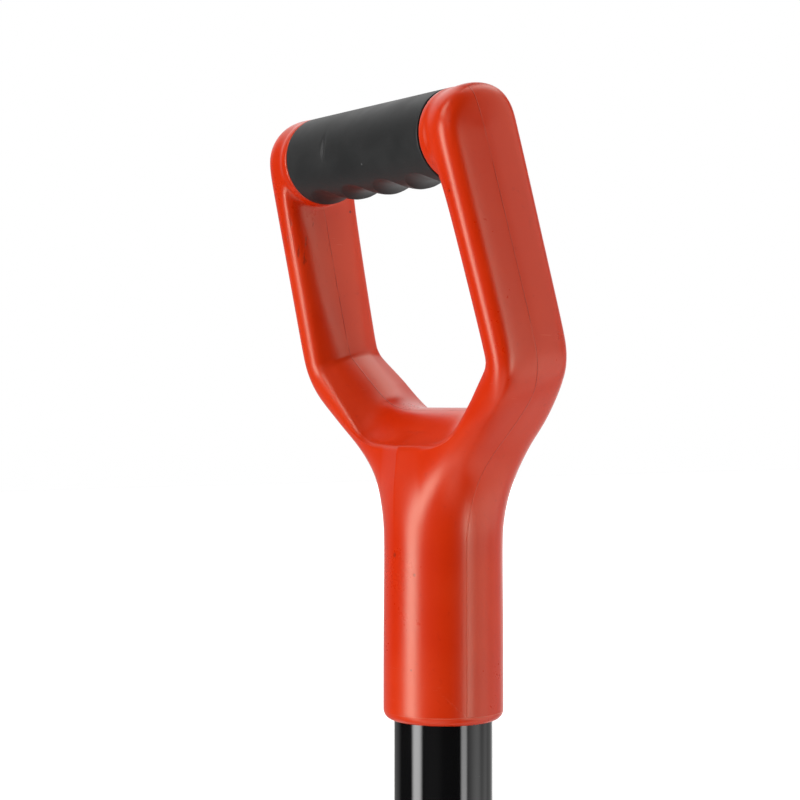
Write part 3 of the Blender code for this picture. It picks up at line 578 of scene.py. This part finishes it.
def endReach(angle, back):
    power = head["squareness"] if back > 0 else 2.0
    return (abs(cos(angle)) ** power + abs(sin(angle)) ** power) ** (-1.0 / power)


def swung(point, reach, angle):
    # a point of the arm turned up and over the grip's axis
    height = head["gripHeight"] + reach * sin(angle)
    x = point.x + (head["gripHeight"] - height) * tan(head["splay"])
    return Vector((x, -reach * cos(angle), height))


def headTop(bm, fronts, walls, back):
    # the arm's rounded end about the grip's axis, and the boss that carries the grip
    steps, axis = head["quarterSteps"], head["gripHeight"]
    quarter = fan(pi / 2, steps)
    angles = [-a for a in reversed(quarter)] + quarter[1:]
    scale = 3.0 / (2.0 + cos(pi / 2 / steps))
    bossRadius = head["gripRadius"] * scale
    face = bossRing(bossRadius, lambda h: armLine(h, True) - 0.0003, angles)
    edgeRows = []
    for height in [axis + bossRadius * sin(a) for a in angles[steps - 2:steps]] + [axis]:
        front, wall = armRows(height)
        fronts.append(front)
        edgeRows.append([wall[0], Vector((wall[1].x, -(halfDepth(height) - head["armEdge"] * 0.1), wall[1].z))])
    lastFront = fronts[-1]
    for angle in quarter[1:]:
        row, edge = [], []
        for point in lastFront:
            reach = -point.y * endReach(angle, back)
            reach *= scale if -point.y > head["armDepth"] / 2 - head["armEdge"] else 1.0
            row.append(swung(point, reach, angle))
        for point in edgeRows[2]:
            edge.append(swung(point, -point.y * scale * endReach(angle, back), angle))
        fronts.append(row)
        edgeRows.append(edge)
    first = steps - 2
    rows = [walls[-1][:3]]
    for i, edge in enumerate(edgeRows):
        rows.append([fronts[len(fronts) - len(edgeRows) + i][0], edge[1], face[first + i]])
    skin(bm, rows)
    addFace(bm, walls[-1][2:] + face[:3])
    end = head["gripLength"] / 2 + fit
    root, core = armLine(axis, True), head["coreRadius"] * scale
    skin(bm, [face, bossRing(bossRadius, lambda h: mix(root, end, 0.35), angles),
              bossRing(bossRadius, lambda h: end + head["bossChamfer"] * 2, angles),
              bossRing(bossRadius - head["bossChamfer"], lambda h: end, angles),
              bossRing(bossRadius * 0.9, lambda h: end, angles),
              bossRing(core * 1.03, lambda h: end, angles), bossRing(core, lambda h: end - 0.0004, angles),
              bossRing(core, lambda h: end * 0.5, angles), bossRing(core, lambda h: 0.0, angles)])


def handleMoulding():
    bm = bmesh.new()
    for back in (-1, 1):
        made = len(bm.verts)
        fronts, walls = headRows(back)
        headTop(bm, fronts, walls, back)
        skin(bm, fronts)
        skin(bm, walls)
        bm.verts.ensure_lookup_table()
        for vert in bm.verts[made:]:
            vert.co.y *= -back
    bmesh.ops.remove_doubles(bm, verts=bm.verts, dist=1e-6)
    other = bmesh.ops.duplicate(bm, geom=bm.verts[:] + bm.edges[:] + bm.faces[:])["geom"]
    for vert in other:
        if isinstance(vert, bmesh.types.BMVert):
            vert.co.x = -vert.co.x
    bmesh.ops.remove_doubles(bm, verts=bm.verts, dist=2e-6)
    bmesh.ops.recalc_face_normals(bm, faces=bm.faces)
    mesh = bpy.data.meshes.new("cage")
    bm.to_mesh(mesh)
    bm.free()
    cage = bpy.data.objects.new("cage", mesh)
    bpy.context.scene.collection.objects.link(cage)
    rounding = cage.modifiers.new("rounding", 'SUBSURF')
    rounding.levels = rounding.render_levels = head["smoothing"]
    smoothMesh = bpy.data.meshes.new_from_object(cage.evaluated_get(bpy.context.evaluated_depsgraph_get()))
    bpy.data.objects.remove(cage, do_unlink=True)
    bm = bmesh.new()
    bm.from_mesh(smoothMesh)
    bpy.data.meshes.remove(smoothMesh)
    seam = bm.verts.layers.float.new("seamDistance")     # mm from the nearest mould line
    floor = head["floorHeight"]
    for vert in bm.verts:
        x, y, z = vert.co
        off = mix(head["seamLow"], head["seamHigh"], ease(z, *head["seamMoves"]))
        rim = 1000.0 * abs(z - head["rimLine"])
        vert[seam] = min(1000.0 * (y + off), rim, key=abs) if z > head["rimLine"] else rim
        if y < -0.004 and head["creaseFrom"] < z < floor and abs(x) < head["creaseReach"]:
            strength = ease(z, head["creaseFrom"], floor - 0.012) \
                * (1.0 - ease(z, floor - 0.004, floor + 0.002))
            vert.co.y -= head["creaseRise"] * strength * (1.0 - abs(x) / head["creaseReach"]) ** 1.3
        vert.co = lean(vert.co)
    return place("handle_moulding", bm, orange, "handle_frame", merge=0, outwards=False)


handle = handleMoulding()
print("spade: handle moulded,", len(handle.data.vertices), "points")


grip = {
    "fingers": 4, "pitch": 0.0202, "depth": 0.0024, "reach": radians(54.0), "fullness": 2.6,
    "endRound": 0.0005, "around": 288, "along": 320,
    # small oval mould mark on the front: place, half length along the grip and round it, depth
    "dent": (-0.0170, radians(4.0)), "dentSize": (0.0010, 0.0036), "dentDepth": 0.00060,
}


def hollowDepth(x, angle):
    # finger hollows that meet in sharp ridges across the underside
    away = abs((angle + pi / 2 + pi) % (2 * pi) - pi)
    if away >= grip["reach"]:
        return 0.0
    across = (x / grip["pitch"] + grip["fingers"] / 2) % 1.0 - 0.5
    inside = abs(x) < grip["pitch"] * grip["fingers"] / 2
    scoop = 1.0 - abs(2.0 * across) ** grip["fullness"] if inside else 0.0
    return max(grip["depth"] * (scoop - (away / grip["reach"]) ** 2), 0.0)


def gripSleeve():
    outer, inner = head["gripRadius"], head["coreRadius"] + fit
    half, soft = head["gripLength"] / 2, grip["endRound"]
    dentX, dentAngle = grip["dent"]
    dentLong, dentRound = grip["dentSize"]
    profile = [(-half + soft, inner), (-half, inner + soft * 0.6), (-half, outer - soft)]
    profile += [(-half + soft * (1.0 - cos(a)), outer - soft + soft * sin(a)) for a in fan(pi / 2, 4, 1)]
    rest = grip["along"]
    middle = [mix(-half + soft, half - soft, i / rest) for i in range(1, rest)]
    profile = profile + [(x, outer) for x in middle] + [(-x, r) for x, r in reversed(profile)]
    bm = bmesh.new()
    rows = []
    for x, radius in profile:
        row = []
        for i in range(grip["around"]):
            angle = 2 * pi * i / grip["around"]      # 0 faces the digging side, -90 degrees is down
            depth = hollowDepth(x, angle + head["lean"]) if radius > inner + 0.001 else 0.0
            dx, da = x - dentX, (angle - dentAngle + pi) % (2 * pi) - pi
            dent = exp(-(dx / dentLong) ** 2 - (da * outer / dentRound) ** 2) * grip["dentDepth"]
            reach = radius - depth - (dent if radius == outer else 0.0)
            row.append(bm.verts.new((x, -reach * cos(angle), reach * sin(angle))))
        rows.append(row)
    for low, high in zip(rows, rows[1:] + rows[:1]):
        for i in range(grip["around"]):
            j = (i + 1) % grip["around"]
            bm.faces.new((low[i], high[i], high[j], low[j]))
    bmesh.ops.translate(bm, vec=lean((0.0, 0.0, head["gripHeight"])), verts=bm.verts)
    place("grip_sleeve_rubber", bm, rubber, "grip_sleeve", merge=0, sharp=55.0)


gripSleeve()
print("spade: grip sleeve made")


shaft = {"wall": 0.0015, "top": 0.058, "bottom": -0.608, "around": 160, "endRound": 0.0003}


def shaftTube():
    outer, inner, soft = shaftRadius, shaftRadius - shaft["wall"], shaft["endRound"]
    top, bottom = shaft["top"], shaft["bottom"]
    profile = [(outer - soft, top), (outer, top - soft), (outer, 0.0), (outer, -0.25), (outer, -0.45),
               (outer, bottom + soft), (outer - soft, bottom), (inner + soft, bottom), (inner, bottom + soft),
               (inner, top - soft), (inner + soft, top)]
    bm = bmesh.new()
    skin(bm, turnedRows(profile + profile[:1], shaft["around"]), closed=True)
    place("shaft_tube", bm, glossPaint, "shaft", sharp=30.0)


shaftTube()
print("spade: shaft made")


socket = {"wall": 0.0020, "top": -0.500, "straight": 0.112, "taper": 0.100, "nose": 0.0085, "rimRound": 0.0007,
          "shoulderDrop": 0.00045, "shoulderHalf": 0.004, "around": 128}
socketRadius = boreRadius + socket["wall"]
taperTop = socket["top"] - socket["straight"]
noseCentre = taperTop - socket["taper"]


def socketReach(height):
    if height >= taperTop:
        return socketRadius
    if height >= noseCentre:
        return mix(socket["nose"], socketRadius, (height - noseCentre) / socket["taper"])
    return sqrt(max(socket["nose"] ** 2 - (noseCentre - height) ** 2, 0.0))


def bladeSocket():
    rim, top, seat = socket["rimRound"], socket["top"], shaft["bottom"] - fit
    drop, shoulder = socket["shoulderDrop"], socket["shoulderHalf"]
    middle, half = (boreRadius + socketRadius) / 2, (socketRadius - boreRadius) / 2
    profile = [(0.0, seat), (boreRadius - 0.001, seat), (boreRadius, seat + 0.001), (boreRadius, top - rim)]
    profile += [(middle - half * cos(a), top - rim + rim * sin(a)) for a in fan(pi, 8, 1)]
    profile += [(socketRadius, mix(top, taperTop, i / 6)) for i in range(1, 6)]
    for i in range(9):                 # a soft shoulder where the taper starts
        turn = (i - 4) / 4
        profile.append((socketRadius - drop * (turn + 1.0) ** 2 / 4, taperTop - shoulder * turn))
    for i in range(1, 12):
        height = mix(taperTop - shoulder, noseCentre, i / 12)
        profile.append((socketReach(height), height))
    profile += [(socket["nose"] * cos(a), noseCentre - socket["nose"] * sin(a)) for a in fan(pi / 2, 12)]
    bm = bmesh.new()
    skin(bm, turnedRows(profile, socket["around"]), closed=True)
    place("blade_socket_forging", bm, satin, "blade_socket", sharp=35.0)


bladeSocket()
print("spade: socket made")


blade = {
    "thickness": 0.0020, "height": 0.285, "topWidth": 0.190, "tipWidth": 0.172,
    "crank": radians(9.0), "dish": 0.007, "sweep": 0.007, "corner": 0.016,
    "lap": 0.072, "belowLap": 0.012, "raiseBlend": 0.0035, "bow": 0.008, "groundEdge": 0.009, "edgeShare": 0.25,
    # columns from the middle out: fine ones of this width, then coarse ones, then round the corner
    "fineStep": 0.00085, "fineColumns": 28, "coarseColumns": 18, "cornerColumns": 16,
    "lapRows": 64, "lowRows": 40, "groundRows": 8,
}
bladeTop = noseCentre - socket["nose"] + blade["lap"]
bladeTip = bladeTop - blade["height"]


def bladePlane(x, height):
    below = bladeTop - height
    curl = -blade["sweep"] * (below / blade["height"]) ** 2
    return -tan(blade["crank"]) * below + curl - blade["dish"] * (x / (blade["topWidth"] / 2)) ** 2


def bladeBack(x, height):
    # the sheet's back face, raised where it laps over the socket's nose
    flat = bladePlane(x, height)
    reach = socketReach(height) + fit * 2
    raised = -sqrt(reach ** 2 - x ** 2) if abs(x) < reach else (abs(x) - reach) * 2.0
    gap = flat - raised
    return 0.5 * (flat + raised - sqrt(gap ** 2 + blade["raiseBlend"] ** 2))


def bladeEdge(x):
    half = blade["tipWidth"] / 2
    over = max(abs(x) - (half - blade["corner"]), 0.0)
    corner = blade["corner"] - sqrt(max(blade["corner"] ** 2 - over ** 2, 0.0))
    return bladeTip + blade["bow"] * (x / half) ** 2 + corner


def bladeSheet():
    half = blade["tipWidth"] / 2
    corner = half - blade["corner"]
    coarse, bend = blade["coarseColumns"], blade["cornerColumns"]
    lapRows, lowRows, groundRows = blade["lapRows"], blade["lowRows"], blade["groundRows"]
    near = 0.0002                      # half the step that the slope is measured over
    side = [blade["fineStep"] * i for i in range(blade["fineColumns"] + 1)]
    side += [mix(side[-1], corner, i / coarse) for i in range(1, coarse + 1)]
    side += [corner + blade["corner"] * sin(pi / 2 * i / bend) for i in range(1, bend + 1)]
    columns = [-x / half for x in reversed(side[1:])] + [x / half for x in side]
    lapEnd = bladeTop - blade["lap"] - blade["belowLap"]
    bm = bmesh.new()
    tip = bm.verts.layers.float.new("fromTip")
    fronts, backs = [], []
    for i in range(lapRows + lowRows + groundRows + 1):
        front, back = [], []
        for share in columns:
            bottom = bladeEdge(share * half)
            groundTop = bottom + blade["groundEdge"]
            if i <= lapRows:
                height = mix(bladeTop, lapEnd, i / lapRows)
            elif i <= lapRows + lowRows:
                height = mix(lapEnd, groundTop, (i - lapRows) / lowRows)
            else:
                height = mix(groundTop, bottom, (i - lapRows - lowRows) / groundRows)
            x = share * mix(blade["tipWidth"], blade["topWidth"], (height - bladeTip) / blade["height"]) / 2
            y = bladeBack(x, height)
            slopeX = (bladeBack(x + near, height) - bladeBack(x - near, height)) / (2 * near)
            slopeZ = (bladeBack(x, height + near) - bladeBack(x, height - near)) / (2 * near)
            out = Vector((slopeX, -1.0, slopeZ)).normalized() * blade["thickness"]
            thin = mix(blade["edgeShare"], 1.0, ease(height, bottom, groundTop))
            if i == 0:
                out.z = 0.0
            a = bm.verts.new((x, y, height))
            b = bm.verts.new((x + out.x * thin, y + out.y * thin, height + out.z * thin))
            a[tip] = b[tip] = height - bottom
            back.append(a)
            front.append(b)
        fronts.append(front)
        backs.append(back)
    last = len(columns) - 1
    for i in range(len(fronts) - 1):
        for j in range(last):
            bm.faces.new((fronts[i][j], fronts[i + 1][j], fronts[i + 1][j + 1], fronts[i][j + 1]))
            bm.faces.new((backs[i][j], backs[i][j + 1], backs[i + 1][j + 1], backs[i + 1][j]))
        bm.faces.new((fronts[i][0], backs[i][0], backs[i + 1][0], fronts[i + 1][0]))
        bm.faces.new((fronts[i][last], fronts[i + 1][last], backs[i + 1][last], backs[i][last]))
    for j in range(last):
        bm.faces.new((fronts[0][j], fronts[0][j + 1], backs[0][j + 1], backs[0][j]))
        bm.faces.new((fronts[-1][j], backs[-1][j], backs[-1][j + 1], fronts[-1][j + 1]))
    place("blade_pressing", bm, bladeFinish, "blade", merge=0, sharp=38.0)


bladeSheet()
print("spade: blade made")


tread = {"length": 0.066, "depth": 0.016, "thickness": 0.0035, "inset": 0.002, "round": 0.0012, "corner": 0.005}


def treadMiddle():
    x = blade["topWidth"] / 2 - tread["inset"] - tread["length"] / 2
    return x, bladeBack(x, bladeTop) - blade["thickness"] / 2


def footTread(name, side, node):
    # flat strip with round corners and softened edges
    x, y = treadMiddle()
    halfX, halfY, corner, soft = tread["length"] / 2, tread["depth"] / 2, tread["corner"], tread["round"]
    plan = []
    for cx, cy, start in ((1, -1, -90), (1, 1, 0), (-1, 1, 90), (-1, -1, 180)):
        for i in range(9):
            angle = radians(start + 90 * i / 8)
            plan.append((cx * (halfX - corner), cy * (halfY - corner), cos(angle), sin(angle)))
    base, top = bladeTop + fit, bladeTop + fit + tread["thickness"]
    quarter = fan(pi / 2, 4)
    rows = [(soft * (1.0 - sin(a)), base + soft * (1.0 - cos(a))) for a in quarter]
    rows += [(soft * (1.0 - cos(a)), top - soft * (1.0 - sin(a))) for a in quarter]
    bm = bmesh.new()
    rings = []
    for inward, height in rows:
        out = corner - inward
        rings.append([bm.verts.new((side * x + px + out * dx, y + py + out * dy, height))
                      for px, py, dx, dy in plan])
    for low, high in zip(rings, rings[1:]):
        for i in range(len(plan)):
            j = (i + 1) % len(plan)
            bm.faces.new((low[i], low[j], high[j], high[i]))
    bm.faces.new(list(reversed(rings[0])))
    bm.faces.new(rings[-1])
    place(name, bm, satin, node, sharp=30.0)


weld = {"socket": 0.0022, "tread": 0.0017, "ripple": 0.00022, "ripplePitch": 0.0017,
        "step": 0.00042, "around": 20}


def weldBead(name, line, radius, node):
    # a bead whose small overlapping ripples follow the torch's travel
    run, lengths = 0.0, [0.0]
    for a, b in zip(line, line[1:]):
        run += (b - a).length
        lengths.append(run)
    count = int(run / weld["step"])
    turns = fan(2 * pi, weld["around"])[:-1]
    bm = bmesh.new()
    rings, k = [], 0
    for i in range(count + 1):
        s = run * i / count
        while k < len(lengths) - 2 and lengths[k + 1] < s:
            k += 1
        t = (s - lengths[k]) / (lengths[k + 1] - lengths[k])
        centre = line[k].lerp(line[k + 1], t)
        ahead = (line[min(k + 2, len(line) - 1)] - line[max(k - 1, 0)]).normalized()
        side = ahead.cross(Vector((0.0, 1.0, 0.0))).normalized()
        up = side.cross(ahead)
        end = min(s, run - s) / radius
        close = sqrt(max(1.0 - (1.0 - min(end, 1.0)) ** 2, 0.0)) * 0.9 + 0.1
        wave = (s / weld["ripplePitch"]) % 1.0
        reach = (radius - weld["ripple"] * (1.0 - wave) ** 1.5) * close
        rings.append([centre + (side * cos(turn) + up * sin(turn)) * reach for turn in turns])
    skin(bm, rings, closed=True)
    addFace(bm, rings[0])
    addFace(bm, list(reversed(rings[-1])))
    place(name, bm, satin, node)


def smoothLine(points, parts=4):
    # Catmull-Rom through the points
    line = []
    for i in range(len(points) - 1):
        p0, p1 = points[max(i - 1, 0)], points[i]
        p2, p3 = points[i + 1], points[min(i + 2, len(points) - 1)]
        for k in range(parts):
            t = k / parts
            line.append(0.5 * ((2 * p1) + (p2 - p0) * t + (2 * p0 - 5 * p1 + 4 * p2 - p3) * t * t
                               + (3 * p1 - p0 - 3 * p2 + p3) * t ** 3))
    line.append(points[-1])
    return line


def socketWeldLine():
    reach, steps = weld["socket"] + fit, 22
    lowest = noseCentre - socket["nose"] - reach
    points = []
    for i in range(steps + 1):
        height = mix(bladeTop - weld["socket"] * 1.5, lowest, sin(pi / 2 * i / steps))
        if height >= noseCentre:
            around = socketReach(height) + reach
        else:
            around = sqrt(max((socket["nose"] + reach) ** 2 - (noseCentre - height) ** 2, 0.0))
        y = bladePlane(around, height) + reach * 1.25
        if around <= abs(y):
            points.append(Vector((0.0, y, height)))
            break
        x = sqrt(around ** 2 - y ** 2)
        y = bladePlane(x, height) + reach * 1.25
        points.append(Vector((sqrt(max(around ** 2 - y ** 2, 0.0)), y, height)))
    other = [Vector((-p.x, p.y, p.z)) for p in points if p.x > 0.0]
    return points + list(reversed(other))


def treadWeldLine(side):
    middle, _ = treadMiddle()
    half, height = tread["length"] / 2 - tread["corner"], bladeTop - weld["tread"]
    points = []
    for i in range(9):
        x = mix(middle - half, middle + half, i / 8)
        points.append(Vector((side * x, bladeBack(x, height) + (weld["tread"] + fit) * 1.05, height)))
    return points


rivet = {"collar": 0.0048, "collarHeight": 0.024, "socket": 0.0060, "spacing": 0.060, "fromTop": 0.022,
         "headRatio": 1.9, "headHeight": 0.0024, "headFlat": 0.10, "around": 48}


def domeRivet(node, shank, seat, height):
    # domed head with a fine rim line, its shank and the swelling inside the tube
    top, radius = rivet["headHeight"], shank * rivet["headRatio"] / 2
    inner = shaftRadius - shaft["wall"] - fit
    profile = []
    for angle in fan(pi / 2, 16):
        flat = 1.0 - rivet["headFlat"] * (1.0 - max(cos(angle), 0.0) ** 0.5)
        profile.append((radius * sin(angle), seat + top * cos(angle) * flat))
    profile += [(radius - 0.0002, seat), (shank / 2, seat), (shank / 2, inner),
                (shank * 0.675, inner - shank * 0.35), (shank * 0.54, inner - shank * 0.8),
                (0.0, inner - shank * 0.95)]
    bm = bmesh.new()
    skin(bm, turnedRows(profile, rivet["around"]), closed=True)
    turn = Vector((0.0, 1.0, 0.0)).to_track_quat('Z', 'Y').to_matrix().to_4x4()
    bmesh.ops.transform(bm, matrix=Matrix.Translation((0.0, 0.0, height)) @ turn, verts=bm.verts)
    place(f"{node}_dome", bm, zinc, node, sharp=35.0)


for name, side in (("left", -1.0), ("right", 1.0)):
    footTread(f"{name}_tread_strip", side, f"{name}_tread")
    weldBead(f"{name}_tread_bead", smoothLine(treadWeldLine(side)), weld["tread"], f"{name}_tread_weld")
weldBead("socket_bead", smoothLine(socketWeldLine()), weld["socket"], "socket_weld")
domeRivet("collar_rivet", rivet["collar"], collarRadius + fit, rivet["collarHeight"])
for i, where in enumerate(("upper", "lower")):
    height = socket["top"] - rivet["fromTop"] - rivet["spacing"] * i
    domeRivet(f"socket_rivet_{where}", rivet["socket"], socketRadius + fit, height)
print("spade: treads, welds and rivets made")


stage = {
    "floorHeight": bladeTip - 0.0005, "floorSize": 40.0,
    "backdrop": 1.0,                   # what the camera sees behind the spade
    # soft panels round the spade: turn, half width, soft edge, elevation from and to in degrees, strength
    "panels": [
        (-9, 6, 11, -90, -35, 2.4),
        (-9, 5, 10, -35, -12, 8.5),
        (-9, 6, 11, -12, 14, 9.6),
        (-9, 6, 11, 32, 62, 7.0),
        (104, 3, 7, -35, -12, 8.0),
        (104, 3, 7, -12, 12, 4.2),
        (130, 16, 10, -40, -12, 0.86),
        (130, 16, 10, -12, 12, 1.0),
        (150, 20, 12, -90, -40, 1.0),
        (150, 20, 12, -40, -12, 1.33),
        (150, 20, 12, -12, 12, 0.46),
        (150, 20, 12, 12, 90, 1.2),
        (190, 20, 12, -90, 12, 0.47),
        (190, 20, 12, 40, 90, 3.1),
        (230, 20, 12, -40, -12, 0.78),
        (230, 20, 12, -12, 12, 1.2),
        (230, 20, 12, 12, 40, 1.1),
        (270, 20, 12, -90, -40, 1.1),
        (270, 20, 12, -40, 12, 0.3),
        (270, 20, 12, 12, 40, 0.82),
        (270, 20, 12, 40, 90, 1.7),
        (30, 16, 10, -90, -40, 1.1),
        (30, 16, 10, -40, 12, 0.08),
        (30, 16, 10, 12, 40, 1.2),
        (60, 16, 10, -90, -40, 0.75),
    ],
    "fade": 8.0,                       # soft upper and lower edges of the panels
    "floorColour": (0.86, 0.86, 0.86), "floorGlow": 0.17, "floorSeen": 0.85,
}


def studioFloor():
    bm = bmesh.new()
    size = stage["floorSize"] / 2
    corners = ((-size, -size), (size, -size), (size, size), (-size, size))
    bm.faces.new([bm.verts.new((x, y, stage["floorHeight"])) for x, y in corners])
    mesh = bpy.data.meshes.new("studio_floor")
    bm.to_mesh(mesh)
    bm.free()
    floor = bpy.data.objects.new("studio_floor", mesh)
    bpy.context.scene.collection.objects.link(floor)
    material, shader = newMaterial("pale_floor", stage["floorColour"], 0.8)
    shader.inputs["Emission Color"].default_value = (1.0, 1.0, 1.0, 1.0)
    n = Nodes(material.node_tree)      # brighter to the camera than to the spade
    toCamera = n.add("ShaderNodeLightPath").outputs["Is Camera Ray"]
    glow = n.span(toCamera, 0.0, 1.0, stage["floorGlow"], stage["floorSeen"])
    n.link(glow, shader.inputs["Emission Strength"])
    mesh.materials.append(material)
    floor.visible_diffuse = floor.visible_glossy = floor.visible_shadow = False


def studioSky():
    # soft panels light the spade; the camera sees a plain white backdrop
    world = bpy.data.worlds.new("studio")
    bpy.context.scene.world = world
    world.use_nodes = True
    world.node_tree.nodes.clear()
    n = Nodes(world.node_tree, "Generated")
    up = n.parts()["Z"]
    level = n.add("ShaderNodeVectorMath", operation='MULTIPLY')
    level.inputs[1].default_value = (1.0, 1.0, 0.0)
    n.link(n.where, level.inputs[0])
    unit = n.add("ShaderNodeVectorMath", operation='NORMALIZE')
    n.link(level.outputs[0], unit.inputs[0])
    total, fade = 0.0, stage["fade"]
    for turn, half, soft, low, high, strength in stage["panels"]:
        toward = n.add("ShaderNodeVectorMath", operation='DOT_PRODUCT')
        n.link(unit.outputs[0], toward.inputs[0])
        angle = radians(turn)
        toward.inputs[1].default_value = (sin(angle), -cos(angle), 0.0)
        share = n.span(toward.outputs["Value"], cos(radians(half + soft)),
                       cos(radians(max(half - soft, 0.0))))
        for edge, inwards in ((low, fade), (high, -fade)):
            if abs(edge) < 90:
                share = n.times(share, n.span(up, sin(radians(edge - inwards)),
                                              sin(radians(edge + inwards))))
        total = n.sum(total, n.times(share, strength))
    lit, seen = n.add("ShaderNodeBackground"), n.add("ShaderNodeBackground")
    for shader in (lit, seen):
        shader.inputs["Color"].default_value = (1.0, 1.0, 1.0, 1.0)
    n.link(total, lit.inputs["Strength"])
    seen.inputs["Strength"].default_value = stage["backdrop"]
    pick = n.add("ShaderNodeMixShader")
    n.link(n.add("ShaderNodeLightPath").outputs["Is Camera Ray"], pick.inputs[0])
    n.link(lit.outputs[0], pick.inputs[1])
    n.link(seen.outputs[0], pick.inputs[2])
    n.link(pick.outputs[0], n.add("ShaderNodeOutputWorld").inputs["Surface"])


view = {"turn": radians(55.18), "away": 0.6883, "height": 0.1093, "swing": radians(1.28),
        "focalPixels": 1941.0, "frame": 800.0, "sensor": 36.0}


def studioCamera():
    data = bpy.data.cameras.new("camera")
    data.sensor_width = view["sensor"]
    data.lens = view["focalPixels"] * view["sensor"] / view["frame"]
    data.clip_start, data.clip_end = 0.01, 100.0
    camera = bpy.data.objects.new("camera", data)
    bpy.context.scene.collection.objects.link(camera)
    away, turn = view["away"], view["turn"]
    camera.location = (away * sin(turn), -away * cos(turn), view["height"])
    camera.rotation_euler = (pi / 2, 0.0, turn + view["swing"])
    bpy.context.scene.camera = camera


studioFloor()
studioSky()
studioCamera()
bpy.context.scene.view_settings.view_transform = 'Standard'
print("spade: studio set")
